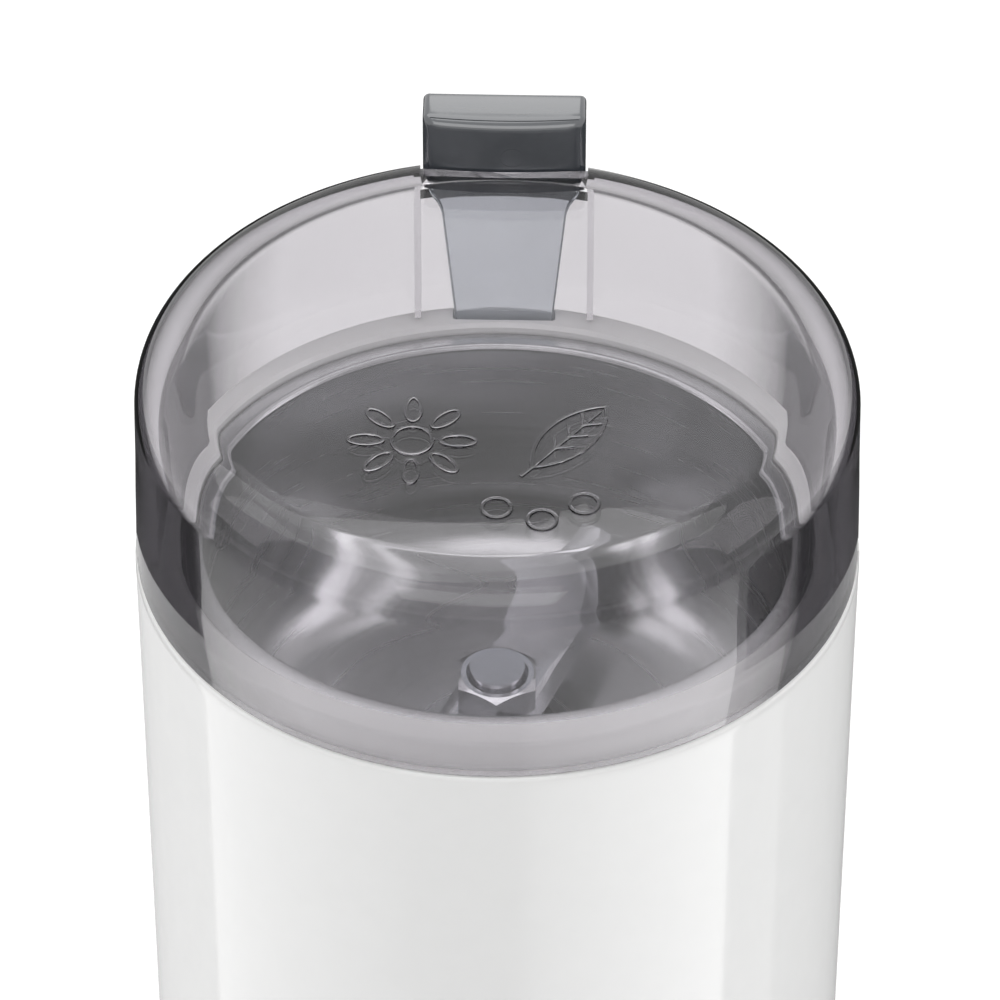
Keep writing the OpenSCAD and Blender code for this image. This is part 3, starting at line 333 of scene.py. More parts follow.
# %% Opaque finishes
WHITE = finish("white_plastic", (0.87, 0.87, 0.865), 0.09, tone=0.006, grain=260,
               bump=0.004, uneven=0.2, IOR=1.5)
GREY = finish("grey_plastic", (0.052, 0.058, 0.068), 0.16, tone=0.04, grain=500, bump=0.01,
              uneven=0.15, IOR=1.5, Coat_Weight=1.0, Coat_IOR=1.8, Coat_Roughness=0.12)
BOWL_STEEL = finish("bowl_steel", (0.44, 0.44, 0.45), 0.24, 1.0, tone=0.05, grain=1500,
                    rings=True, bump=0.015, uneven=0.2)
BLADE_STEEL = finish("blade_steel", (0.5, 0.5, 0.52), 0.16, 1.0, tone=0.05, grain=900,
                     stretch=(1, 0.08, 1), along=65, bump=0.01, uneven=0.2)
NUT_STEEL = finish("nut_steel", (0.56, 0.56, 0.58), 0.14, 1.0, tone=0.05, grain=2200,
                   rings=True, bump=0.01)
RUBBER = finish("grey_rubber", (0.055, 0.055, 0.06), 0.62, tone=0.15, grain=1400, bump=0.12)
BLACK_RUBBER = finish("black_rubber", (0.015, 0.015, 0.016), 0.6, tone=0.2, grain=1400,
                      bump=0.12)
ZINC = finish("zinc_steel", (0.5, 0.51, 0.53), 0.3, 1.0, tone=0.1, grain=1200, bump=0.04)
SPRING = finish("spring_steel", (0.42, 0.42, 0.44), 0.3, 1.0, tone=0.12, grain=1600, bump=0.03)
DIE_CAST = finish("die_cast", (0.45, 0.45, 0.46), 0.5, 1.0, tone=0.12, grain=650, bump=0.2,
                  detail=6)
BRONZE = finish("bronze", (0.42, 0.25, 0.1), 0.45, 1.0, tone=0.25, grain=3200, bump=0.25)
BRASS = finish("brass", (0.62, 0.42, 0.14), 0.3, 1.0, tone=0.08, grain=900, stretch=(1, 6, 6),
               bump=0.03)
COPPER = finish("copper_wire", (0.38, 0.11, 0.035), 0.32, 0.7, tone=0.35, grain=420,
                stretch=(0.3, 0.3, 9), bump=0.5)
IRON = finish("laminations", (0.14, 0.145, 0.155), 0.5, 0.8, tone=0.35, grain=300,
              stretch=(0.05, 0.05, 7), bump=0.6, detail=1)
CARBON = finish("carbon", (0.02, 0.02, 0.022), 0.55, tone=0.3, grain=2600, bump=0.2)
DARK = finish("dark_plastic", (0.022, 0.022, 0.025), 0.35, tone=0.15, grain=1500, bump=0.08)
RED = finish("red_plastic", (0.32, 0.015, 0.01), 0.35, tone=0.1, grain=900, bump=0.05)
FIBRE = finish("washer_plastic", (0.45, 0.33, 0.17), 0.5, tone=0.15, grain=1800, bump=0.15)
FILTER = finish("filter_plastic", (0.5, 0.3, 0.03), 0.4, tone=0.08, grain=1200, bump=0.05)
WIRE = finish("wire_red", (0.3, 0.012, 0.01), 0.38, tone=0.1, grain=900, bump=0.04)
print(len(bpy.data.materials), "materials so far, with those of the frame")

# %% [markdown]
# The clear lid is tinted like weak smoke. In a real clear moulding the tint sits in the
# plastic itself: a thin wall looks almost clear, and an edge, where light travels a long way
# inside, looks dark. So the colour comes from a volume that absorbs light, on a very smooth
# clear surface. On top of that, Layer Weight paints shade into the surface colour where it is
# seen at a slant: this painted shade gives the lid its dark outline.
# Rays that only ask whether a lamp can be seen pass straight through, weakened a little, so
# that the bowl inside is lit as softly as the outside.

# %% Clear and translucent finishes
def clear(name, surface, slant_shade_color, roughness, absorb, density, shade, wave=0.0, haze=0.0):
    """Colours: straight through, of the painted shade at a slant, in the volume, and of the
    shadow.
    """
    material = finish(name, surface, roughness, tone=0.01, grain=45, bump=wave, detail=0,
                      uneven=0.3, Transmission_Weight=1.0 - haze, IOR=1.49)
    tree = material.node_tree
    shader, out = tree.nodes["Principled BSDF"], tree.nodes["Material Output"]
    # Painted shade: Layer Weight mixes the surface colour towards the second colour where the
    # surface is seen at a slant, which paints a dark outline.
    grazing = tree.nodes.new("ShaderNodeLayerWeight")
    grazing.inputs["Blend"].default_value = 0.5
    rise = tree.nodes.new("ShaderNodeMapRange")
    rise.inputs["From Min"].default_value, rise.inputs["From Max"].default_value = 0.4, 0.58
    tree.links.new(grazing.outputs["Facing"], rise.inputs["Value"])
    slant_shade = tree.nodes.new("ShaderNodeMix")
    slant_shade.data_type = "RGBA"
    slant_shade.inputs["B"].default_value = (*slant_shade_color, 1)
    tree.links.new(rise.outputs["Result"], slant_shade.inputs["Factor"])
    tree.links.new(shader.inputs["Base Color"].links[0].from_socket, slant_shade.inputs["A"])
    tree.links.new(slant_shade.outputs["Result"], shader.inputs["Base Color"])
    volume = tree.nodes.new("ShaderNodeVolumeAbsorption")
    volume.inputs["Color"].default_value = (*absorb, 1)
    volume.inputs["Density"].default_value = density
    tree.links.new(volume.outputs[0], out.inputs["Volume"])
    path = tree.nodes.new("ShaderNodeLightPath")
    through = tree.nodes.new("ShaderNodeBsdfTransparent")
    through.inputs["Color"].default_value = (*shade, 1)
    mix = tree.nodes.new("ShaderNodeMixShader")
    tree.links.new(path.outputs["Is Shadow Ray"], mix.inputs["Fac"])
    tree.links.new(shader.outputs[0], mix.inputs[1])
    tree.links.new(through.outputs[0], mix.inputs[2])
    tree.links.new(mix.outputs[0], out.inputs["Surface"])
    return material


# The second colour of each is the painted shade at a slant: near black on the lid, mid grey on
# the leg.
SMOKE = clear("smoke_clear", (0.97, 0.965, 0.97), (0.03, 0.029, 0.032), 0.0,
              (0.62, 0.6, 0.63), 260, (0.82, 0.82, 0.82), wave=0.02)
LEG_GREY = clear("clear_grey", (0.86, 0.89, 0.92), (0.5, 0.52, 0.55), 0.12,
                 (0.72, 0.78, 0.85), 150, (0.8, 0.82, 0.85), haze=0.2)
print("clear finishes:", SMOKE.name, "and", LEG_GREY.name)

# %% [markdown]
# The body is one white moulding: an oval tube that widens slightly upwards, a rim that closes
# its top, and a low collar on the rim that the lid fits over. Inside, a deck carries the
# motor. We turn the outside, then cut the inside, the seat of the bowl, the slot of the push
# rod and all screw holes, in the order in which a mould maker would think of them.
# Its sizes repeat those of the CAD model.

# %% Sizes of the body
BODY_W, BODY_D, BODY_H, FOOT_Z = 90, 85, 134, 1.6
BODY_K = BODY_D / BODY_W
TAPER, WALL, RIM_T, COLLAR_H = 1.7, 2.4, 3, 4
LID_R = BODY_W / 2 - 0.15
LID_WALL = 2.4
LID_TOP_R = LID_R - 0.4
COLLAR_R = LID_R - LID_WALL - 0.4
COLLAR_TOP = BODY_H + COLLAR_H
COLLAR_IN_R = COLLAR_R - 2.5
BOWL_K = (COLLAR_R * BODY_K - 4) / COLLAR_IN_R
SHEET_T, GASKET_T, BOWL_DEPTH = 0.7, 0.6, 36
FLANGE_R = COLLAR_IN_R - 0.2
BOWL_OUT_R = FLANGE_R - 2.2
BOWL_IN_R = BOWL_OUT_R - SHEET_T
SEAT_R, SEAT_TOP = BOWL_OUT_R + 0.4, BODY_H + 1.5
BOWL_RIM = SEAT_TOP + GASKET_T + SHEET_T
FLOOR_TOP = BOWL_RIM - BOWL_DEPTH
DECK_TOP = FLOOR_TOP - SHEET_T - 0.3
DECK_UNDER = DECK_TOP - 3
LINE_Y = COLLAR_R * BODY_K - 2  # the line that the leg and the push rod stand on
SLOT_W, SLOT_T = 13, 2.2
BOSS_FOOT = DECK_UNDER - 5
OVER = 0.5  # how far a cutting shape reaches past what it cuts
print(f"body {BODY_W} x {BODY_D} mm, bowl {2 * BOWL_IN_R:.1f} mm wide, {BOWL_DEPTH} mm deep")


def side_r(z):
    return BODY_W / 2 - TAPER * (BODY_H - z) / (BODY_H - FOOT_Z)


def inside_r(z):
    return side_r(z) - WALL


# %% Body
LIP = 1.9  # the side stands upright this far under the rim
MOUNT_X, MOUNT_Y = inside_r(87.1) - 11, 10
BOSS_R, SCREW_HOLE_R, SMALL_HOLE_R = 4, 1.63, 1.23
HUB_HOLE_R, ROD_HOLE_R, GLAND_HOLE_R, GLAND_Z = 9.5, 1.4, 5.13, 17
PILLAR_Z0, PILLAR_Z1, PILLAR_RIB_L, PILLAR_RIB_T = 6, 20, 12, 1.8
foot_r = inside_r(FOOT_Z)
PILLARS = [(0, 6.8 - foot_r * BODY_K, -90), (foot_r - 7.6, 4, 0), (7.6 - foot_r, 4, 180)]
MOUNTS = [(x, y) for x in (-MOUNT_X, MOUNT_X) for y in (-MOUNT_Y, MOUNT_Y)]

levels = [FOOT_Z + (BODY_H - LIP - FOOT_Z) * i / 12 for i in range(1, 12)]
body = piece_from(lathe(
    [(0, FOOT_Z), (side_r(FOOT_Z), FOOT_Z, 0.5)] + [(side_r(z), z) for z in levels]
    + [(BODY_W / 2, BODY_H - LIP), (BODY_W / 2, BODY_H, 0.9), (COLLAR_R, BODY_H, 0.35),
       (COLLAR_R, COLLAR_TOP, 0.6), (0, COLLAR_TOP)], BODY_K), "housing_shell")
combine(body, lathe([(0, DECK_TOP), (inside_r(DECK_TOP), DECK_TOP, 0.6),
                     (inside_r(BODY_H - RIM_T), BODY_H - RIM_T, 0.6), (0, BODY_H - RIM_T)],
                    BODY_K))
room = piece_from(lathe([(0, FOOT_Z - OVER), (inside_r(FOOT_Z - OVER), FOOT_Z - OVER),
                         (inside_r(DECK_UNDER), DECK_UNDER, 0.6), (0, DECK_UNDER)], BODY_K),
                  "room")
for at in MOUNTS:
    combine(room, cylinder(BOSS_R, BOSS_FOOT, DECK_UNDER + 1, at))
for x, y, way in PILLARS:
    combine(room, cylinder(BOSS_R, PILLAR_Z0, PILLAR_Z1, (x, y)))
    rib = block((0, -PILLAR_RIB_T / 2, PILLAR_Z0), (PILLAR_RIB_L, PILLAR_RIB_T / 2, PILLAR_Z1))
    combine(room, shift(turn(rib, way, "Z"), (x, y, 0)))

# %% [markdown]
# The room inside the body is a shape of its own: the bosses and ribs were taken out of it
# first, so they stay standing when it is now cut out of the body. The rest is cut in turn.

# %% Cuts in the body
def take(piece):
    """The piece's mesh as a shape, with its object removed."""
    bm = bmesh.new()
    bm.from_mesh(piece.data)
    bpy.data.objects.remove(piece)
    return bm


combine(body, take(room))
combine(body, lathe([(0, BODY_H - RIM_T - OVER), (SEAT_R, BODY_H - RIM_T - OVER),
                     (SEAT_R, SEAT_TOP, 0.25), (COLLAR_IN_R, SEAT_TOP),
                     (COLLAR_IN_R, COLLAR_TOP - 0.5), (COLLAR_IN_R + 0.5, COLLAR_TOP),
                     (COLLAR_IN_R + 0.5, COLLAR_TOP + OVER), (0, COLLAR_TOP + OVER)], BOWL_K))
combine(body, cylinder(HUB_HOLE_R, DECK_UNDER - OVER, DECK_TOP + OVER))
slot = block((-SLOT_W / 2, LINE_Y - SLOT_T / 2, BODY_H - RIM_T - OVER),
             (SLOT_W / 2, LINE_Y + SLOT_T / 2, COLLAR_TOP + OVER))
bevel_edges(slot, 0.4, 4, is_upright)
combine(body, slot)
combine(body, cylinder(ROD_HOLE_R, DECK_UNDER - OVER, DECK_TOP + OVER, (0, LINE_Y)))
for at in MOUNTS:
    combine(body, cylinder(SCREW_HOLE_R, BOSS_FOOT - OVER, DECK_UNDER + 1.5, at, 32))
bracket_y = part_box("bracket_screws")[0].y / MM + 2
for x in (-13, 1):
    combine(body, cylinder(SMALL_HOLE_R, DECK_UNDER - OVER, DECK_UNDER + 2, (x, bracket_y), 32))
for x, y, way in PILLARS:
    combine(body, cylinder(SCREW_HOLE_R, PILLAR_Z0 - OVER, PILLAR_Z1 - 1, (x, y), 32))
gland_hole = turn(cylinder(GLAND_HOLE_R, 20, 60), -90, "X")
combine(body, shift(gland_hole, (0, 0, GLAND_Z)))
dress(body, "base_unit", "white_plastic", WHITE, "housing")

# %% [markdown]
# The lid is a clear dome with a flat top. It is turned twice, once for the outside and once
# for the inside. Two stiffening ribs stay standing, because they are taken out of the inside
# before the inside is cut away. Last comes the notch at the back that the button moves in.

# %% Lid
LID_Z0, LID_TOP, PLATE_T = BODY_H + 0.03, BODY_H + 30, 1.6
SHOULDER, INNER_SHOULDER = 6.2, 5.8
PLATE_UNDER = LID_TOP - PLATE_T
BUTTON_W, BUTTON_D, BUTTON_H, BOW_R = 20.4, 6.4, 11.8, 70
BUTTON_TOP = LID_TOP + 7.5
BUTTON_FOOT = BUTTON_TOP - BUTTON_H
BUTTON_BACK = LID_R * BODY_K
BUTTON_FRONT = BUTTON_BACK - BUTTON_D
TRAVEL, SLIDE_GAP = 3, 0.3
NOTCH_FLOOR = BUTTON_FOOT - TRAVEL - SLIDE_GAP
RIB_X, RIB_T, RIB_IN, RIB_FOOT = BUTTON_W / 2 + 0.7, 0.8, 1.5, COLLAR_TOP + 0.5
STEM_TOP_W, STEM_T = BUTTON_W - 1.4, 1.6


def bow(x):
    """How far the button's front lies back at x, because it is bowed."""
    return BOW_R - math.sqrt(BOW_R ** 2 - x ** 2)


def button_space():
    """What the button sweeps, with its bowed front and a gap on each side."""
    half = BUTTON_W / 2 + SLIDE_GAP
    bm = block((-half, BUTTON_FRONT - SLIDE_GAP, NOTCH_FLOOR), (half, 50, BUTTON_TOP))
    slice_across(bm, half)
    for v in bm.verts:
        if v.co.y < (BUTTON_FRONT + 1) * MM:
            v.co.y += bow(v.co.x / MM) * MM
    return bm


def flat_top(z):
    """Rings on a flat top, whose faces would be long slivers without them."""
    return [(r, z) for r in (30, 20, 10, 0)]


lid = piece_from(lathe(
    [(0, LID_Z0), (LID_R, LID_Z0, 0.3), (LID_R - 0.13, 144), (LID_R - 0.26, 150),
     (LID_TOP_R, LID_TOP, SHOULDER, 20)] + flat_top(LID_TOP), BODY_K), "lid_clear")
inner_r = LID_R - LID_WALL
hollow = piece_from(lathe(
    [(0, LID_Z0 - OVER), (inner_r, LID_Z0 - OVER), (inner_r - 0.16, 144), (inner_r - 0.28, 150),
     (LID_TOP_R - LID_WALL, PLATE_UNDER, INNER_SHOULDER, 16)] + flat_top(PLATE_UNDER), BODY_K),
    "hollow")
for x in (-RIB_X, RIB_X):
    combine(hollow, block((x - RIB_T / 2, LINE_Y - RIB_IN, RIB_FOOT),
                          (x + RIB_T / 2, 60, LID_TOP)))
combine(lid, take(hollow))
combine(lid, button_space())
print(f"notch floor at {NOTCH_FLOOR:.1f} mm, under the button's travel of {TRAVEL} mm")

# %% [markdown]
# The flat top carries a few raised line drawings that say what the grinder is for: a star
# anise, a bay leaf and some peppercorns. A closed line is a thin ring: its outline is filled
# with a face, the face is inset, its middle is taken out, and the ring that is left is raised.
# The straight lines of the leaf are low bars.

# %% Marks on the lid
MARK_LINE, MARK_H, SUNK = 0.5, 0.25, 0.2
STAR_AT, STAR_R = (-10, -15), 8
LEAF_AT, LEAF_TURN, LEAF_L, LEAF_W = (9, -14), 52, 15, 6.4
PEPPERCORNS, PEPPERCORN_R = ((0.5, -27), (6, -29), (11, -26)), 2


def add_mark(bm, at, angle):
    """Rounds a raised line's upper edges, which catch the light, and joins it to the lid."""
    top, sharp = max(v.co.z for v in bm.verts), is_sharp(1.2)
    bevel_edges(bm, 0.12, 2,
                lambda e: sharp(e) and all(v.co.z > top - SAME for v in e.verts))
    combine(lid, shift(turn(bm, angle, "Z"), (*at, LID_TOP - SUNK)), "UNION")


def add_ring(outline, at, angle=0):
    bm = flat_face(outline)
    bm.faces.ensure_lookup_table()
    inner = bm.faces[0]
    inner.normal_update()
    bmesh.ops.inset_region(bm, faces=[inner], thickness=MARK_LINE * MM, use_boundary=True,
                           use_even_offset=True)
    bmesh.ops.delete(bm, geom=[inner], context="FACES")
    add_mark(raise_faces(bm, MARK_H + SUNK), at, angle)


def add_bar(length, start, at, angle):
    """A straight line that starts this far from its place and runs along X."""
    add_mark(block((start, -MARK_LINE / 2, 0), (start + length, MARK_LINE / 2, MARK_H + SUNK)),
             at, angle)


def oval(half_l, half_w, middle=0, points=24):
    return [(middle + half_l * math.cos(2 * math.pi * i / points),
             half_w * math.sin(2 * math.pi * i / points)) for i in range(points)]


def leaf_outline(points=12):
    """Two arcs that meet in two tips."""
    arc_r = (LEAF_L ** 2 / LEAF_W + LEAF_W) / 4
    spread = math.asin(LEAF_L / 2 / arc_r)
    angles = [spread * (2 * i / points - 1) for i in range(points)]
    lower = [(arc_r * math.sin(a), arc_r - LEAF_W / 2 - arc_r * math.cos(a)) for a in angles]
    return lower + [(-x, -y) for x, y in lower]


# %% Drawings on the lid
petal_l = 0.6 * STAR_R
for i in range(8):
    add_ring(oval(petal_l / 2, petal_l / 4, STAR_R - petal_l / 2), STAR_AT, 45 * i)
add_ring(oval(0.34 * STAR_R, 0.34 * STAR_R), STAR_AT)
add_ring(leaf_outline(), LEAF_AT, LEAF_TURN)
add_bar(1.02 * LEAF_L, -0.62 * LEAF_L, LEAF_AT, LEAF_TURN)
along = Vector((math.cos(math.radians(LEAF_TURN)), math.sin(math.radians(LEAF_TURN))))
for i in (-1, 0, 1):
    vein_at = Vector(LEAF_AT) + along * i * 0.18 * LEAF_L
    for way in (-1, 1):
        add_bar(0.36 * LEAF_W, 0, vein_at, LEAF_TURN + way * 42)
for at in PEPPERCORNS:
    add_ring(oval(PEPPERCORN_R, PEPPERCORN_R), at)
dress(lid, "lid", "smoke_clear", SMOKE, "lid")

# %% [markdown]
# The button is a rounded bar with a bowed front. It starts as a box whose edges are bevelled
# by how a finger meets them: the front edges wide, the sides of the top tight. Then the box
# is sliced across, so that the front can be bent.

# %% Button
FRONT_EDGE, SIDE_EDGE = 1.5, 0.8
cap = block((-BUTTON_W / 2, BUTTON_FRONT, BUTTON_FOOT), (BUTTON_W / 2, BUTTON_BACK, BUTTON_TOP))
at_top, at_front, at_foot = lies(2, BUTTON_TOP), lies(1, BUTTON_FRONT), lies(2, BUTTON_FOOT)
bevel_edges(cap, FRONT_EDGE, 8, lambda e: at_front(e) and (is_upright(e) or at_top(e)))
bevel_edges(cap, SIDE_EDGE, 6, lambda e: is_sharp(0.7)(e) and not at_foot(e))
slice_across(cap, BUTTON_W / 2 - FRONT_EDGE)
for v in cap.verts:
    v.co.y += (1 - (v.co.y / MM - BUTTON_FRONT) / BUTTON_D) * bow(v.co.x / MM) * MM
button = piece_from(close_up(cap), "button_key")

# %% [markdown]
# A slot in the button's underside holds the leg. Two marks of the mould are cut last, because
# they are what the eye finds on such a small smooth part: a fine line along the top's front
# edge, and the faint ring that an ejector pin leaves on the front.

# %% Slot and mould marks of the button
STEM_IN, PRESS = 4.5, 0.03
LINE_IN, LINE_BACK, LINE_W, LINE_DEPTH, LINE_BOW = 0.9, 0.8, 0.12, 0.26, 0.86
PIN_X, PIN_UP, PIN_R, PIN_DEPTH = 1, 6.4, 1.4, 0.06

combine(button, block((-STEM_TOP_W / 2 - PRESS, LINE_Y - STEM_T / 2 - PRESS, BUTTON_FOOT - OVER),
                      (STEM_TOP_W / 2 + PRESS, LINE_Y + STEM_T / 2 + PRESS,
                       BUTTON_FOOT + STEM_IN + PRESS)))
half = BUTTON_W / 2 - LINE_IN
line_y = BUTTON_FRONT + LINE_BACK
line = block((-half, line_y, BUTTON_TOP - LINE_DEPTH), (half, line_y + LINE_W, BUTTON_TOP + 1))
slice_across(line, half)
for v in line.verts:
    v.co.y += LINE_BOW * bow(v.co.x / MM) * MM
combine(button, line)
pin_mark = lathe([(PIN_R, -PIN_DEPTH), (PIN_R + 0.1, -PIN_DEPTH), (PIN_R + 0.1, 1), (PIN_R, 1)],
                 loop=True, steps=40)
combine(button, shift(turn(pin_mark, 90, "X"),
                      (PIN_X, BUTTON_FRONT + bow(PIN_X), BUTTON_FOOT + PIN_UP)))
dress(button, "button", "grey_plastic", GREY, "button_cap", angle=40)

# %% [markdown]
# Under the button a flat leg of translucent plastic reaches down behind the bowl. It is drawn
# as an outline, raised to its thickness and stood upright. A shallow field is sunk into its
# front, so that a border stays along its long edges, which shows as a double line.

# %% Leg under the button
STEM_FOOT, STEM_FOOT_W = BODY_H - RIM_T / 2 + SLIDE_GAP, 12.4
FILLET_R, FLARE_R = 6, 7.8
FLARE_Z = BUTTON_FOOT - 5.4
FLARE_START, FLARE_TURN, FLARE_STEPS = 174, 84, 12  # the arc of the flare, in degrees
FIELD_IN, FIELD_DEPTH = 1.1, 0.5

reach = STEM_TOP_W / 2
side = [(STEM_FOOT_W / 2, STEM_FOOT), (STEM_FOOT_W / 2, COLLAR_TOP)]
for i in range(FLARE_STEPS + 1):
    angle = math.radians(FLARE_START - FLARE_TURN * i / FLARE_STEPS)
    x = FLARE_R + FILLET_R * (math.cos(math.radians(180 - FLARE_START)) + math.cos(angle))
    if x < reach:
        side.append((x, FLARE_Z + FILLET_R * math.sin(angle)))
side += [(reach, side[-1][1] + 0.8), (reach, BUTTON_FOOT + STEM_IN)]
flat = prism(side + [(-x, z) for x, z in reversed(side)], 0, STEM_T)
front = max(flat.faces, key=lambda f: f.calc_center_median().z)
bmesh.ops.inset_region(flat, faces=[front], thickness=FIELD_IN * MM,
                       depth=-FIELD_DEPTH * MM, use_even_offset=True)
bevel_edges(flat, 0.15, 2, is_sharp(1.2))
shift(turn(flat, 90, "X"), (0, LINE_Y + STEM_T / 2, 0))
leg = piece_from(close_up(flat), "button_leg")
dress(leg, "button", "clear_grey", LEG_GREY, "button_stem")

# %% [markdown]
# The bowl is pressed from one steel sheet. Its profile goes down the inside and up the
# outside, and the rim is flared out flat to rest on the gasket.

# %% Bowl
BOWL_HOLE_R, BOWL_BEND = 5.5, 12
bowl = piece_from(lathe(
    [(BOWL_HOLE_R, FLOOR_TOP, 0.25, 3), (BOWL_IN_R, FLOOR_TOP, BOWL_BEND, 16), (BOWL_IN_R, 120),
     (BOWL_IN_R, 128), (BOWL_IN_R, BOWL_RIM, 0.9, 6), (FLANGE_R, BOWL_RIM, 0.3, 4),
     (FLANGE_R, BOWL_RIM - SHEET_T, 0.3, 4), (BOWL_OUT_R, BOWL_RIM - SHEET_T, 0.2, 4),
     (BOWL_OUT_R, 120), (BOWL_OUT_R, FLOOR_TOP - SHEET_T, BOWL_BEND + SHEET_T, 16),
     (BOWL_HOLE_R, FLOOR_TOP - SHEET_T)], BOWL_K, loop=True), "bowl_steel")
dress(bowl, "base_unit", "bowl_steel", BOWL_STEEL, "bowl")

# %% [markdown]
# The blade is cut from a flat strip. Its cutting sides are ground to an edge, and its tips are
# bent, one up and one down, so that they stir the beans. The bend is made as on a press brake:
# the strip is sliced across in a few places, and all that lies beyond each slice is turned a
# little about it, from the outermost slice inwards.

# %% Blade
NUT_Z0, NUT_Z1 = (c.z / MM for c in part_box("blade_nut"))
BLADE_T, BLADE_W, BLADE_TIP, BLADE_REST = 1.5, 12, 9.7, 65
BLADE_Z = NUT_Z0 - BLADE_T
BLADE_R = BOWL_IN_R * BOWL_K - 3
BLADE_FLAT = BLADE_R - 10
BEND_R, BEND_STEPS, TIP_UP, TIP_DOWN = 1.2, 6, 24, 14
SHAFT_HOLE_R = 3.55
end = BLADE_FLAT + BLADE_TIP
half_strip = [(0, -BLADE_W / 2), (BLADE_FLAT, -0.42 * BLADE_W), (end, -0.18 * BLADE_W),
              (end, 0.14 * BLADE_W), (BLADE_FLAT, 0.3 * BLADE_W)]
strip = prism(half_strip + [(-x, -y) for x, y in half_strip], BLADE_Z, BLADE_Z + BLADE_T)
is_upper = lies(2, BLADE_Z + BLADE_T)


def cuts(e):
    """The upper edges on the sides that meet the beans first."""
    a, b = (v.co / MM for v in e.verts)
    middle = (a + b) / 2
    return is_upper(e) and middle.x * middle.y < -1 and abs((b - a).y) < abs((b - a).x)


bevel_edges(strip, 1.25, 1, cuts)
bevel_edges(strip, 0.15, 2, is_sharp(1.3))

# %% Bent tips
for side, bend in ((1, TIP_UP), (-1, -TIP_DOWN)):
    folds = [side * (BLADE_FLAT + BEND_R * (2 * i / (BEND_STEPS - 1) - 1))
             for i in reversed(range(BEND_STEPS))]
    for x in folds:
        cut_at(strip, x)
    for x in folds:
        beyond = [v for v in strip.verts if side * v.co.x > side * x * MM + SAME]
        bmesh.ops.rotate(strip, cent=Vector((x, 0, BLADE_Z)) * MM, verts=beyond,
                         matrix=Matrix.Rotation(math.radians(-side * bend / BEND_STEPS), 3, "Y"))
turn(strip, BLADE_REST, "Z")
blade = piece_from(close_up(strip), "blade_ground")
combine(blade, cylinder(SHAFT_HOLE_R, BLADE_Z - 1, BLADE_Z + BLADE_T + 1))
dress(blade, "rotor", "blade_steel", BLADE_STEEL, "blade")

# %% [markdown]
# The nut is a hexagon whose corners a lathe has turned away. So a turned shape with a sloped
# top and bottom is crossed with a six-sided prism.

# %% Blade nut
NUT_R = 5.6
turned_r = NUT_R + 0.1
nut = piece_from(cylinder(NUT_R, NUT_Z0, NUT_Z1, segments=6), "blade_nut_turned")
turned = lathe([(0, NUT_Z0), (5, NUT_Z0), (turned_r, NUT_Z0 + 0.5), (turned_r, NUT_Z1 - 0.5),
                (4.6, NUT_Z1), (0, NUT_Z1)], steps=72)
combine(nut, turned, "INTERSECT")
combine(nut, lathe([(0, NUT_Z0 - 1), (SHAFT_HOLE_R, NUT_Z0 - 1), (SHAFT_HOLE_R, NUT_Z1 - 0.4),
                    (4.0, NUT_Z1 + 0.05), (4.0, NUT_Z1 + 1), (0, NUT_Z1 + 1)], steps=48))
dress(nut, "rotor", "blade_steel", NUT_STEEL, "blade_nut", angle=20)

# %% [markdown]
# All other CAD nodes keep their shape and only get their finish. The table below gives each
# finish its nodes.

# %% Finishes of the CAD nodes
CARRIED = {
    WHITE: ["base_cover", "cooling_fan", "push_rod"],
    BLADE_STEEL: ["motor_shaft"],
    RUBBER: ["bowl_gasket", "feet", "cord_gland"],
    BLACK_RUBBER: ["shaft_seal", "motor_grommets"],
    ZINC: ["base_screws", "tie_screws", "motor_screws", "switch_screws", "bracket_screws",
           "switch_bracket"],
    SPRING: ["brush_springs", "rod_spring", "switch_lever"],
    DIE_CAST: ["motor_top_bracket", "motor_bottom_bracket"],
    BRONZE: ["top_bearing", "bottom_bearing"],
    COPPER: ["commutator", "field_coils", "armature_windings"],
    IRON: ["field_core", "armature_core"],
    BRASS: ["brush_holders"],
    CARBON: ["carbon_brushes"],
    DARK: ["switch_case", "blade_hub"],
    RED: ["switch_plunger"],
    FIBRE: ["thrust_washers"],
    FILTER: ["noise_filter"],
    WIRE: ["lead_wires"],
}
for material, names in CARRIED.items():
    for name in names:
        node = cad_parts[name]
        node.data.materials.clear()
        node.data.materials.append(material)
print(sum(map(len, CARRIED.values())), "CAD nodes carry a finish of their own")

# %% [markdown]
# The spring under the push rod is pressed together when the rod comes down. A copy of its
# node takes its place, because a CAD node's own mesh is never changed.

# %% Spring under the push rod
coil = bmesh.new()
coil.from_mesh(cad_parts["rod_spring"].data)
spring = dress(piece_from(close_up(coil), "rod_spring_coil"), "base_unit", "spring_steel",
               SPRING, "rod_spring", angle=60)
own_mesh(spring)

# %% [markdown]
# The set is a plain pale table under a white sky, with soft lamps above. Light Path nodes make
# the table and the sky white to the camera, in mirrors and through clear plastic, while the
# table still takes the grinder's shadow.

# %% Table and sky
def seen_directly(tree):
    """1 for rays that look at the set itself, in a mirror or through clear plastic."""
    path = tree.nodes.new("ShaderNodeLightPath")
    result = path.outputs["Is Camera Ray"]
    for kind in ("Is Glossy Ray", "Is Transmission Ray"):
        either = tree.nodes.new("ShaderNodeMath")
        either.operation = "MAXIMUM"
        tree.links.new(result, either.inputs[0])
        tree.links.new(path.outputs[kind], either.inputs[1])
        result = either.outputs[0]
    return result


def scaled(tree, value, low, high):
    node = tree.nodes.new("ShaderNodeMapRange")
    node.inputs["To Min"].default_value, node.inputs["To Max"].default_value = low, high
    tree.links.new(value, node.inputs["Value"])
    return node.outputs["Result"]


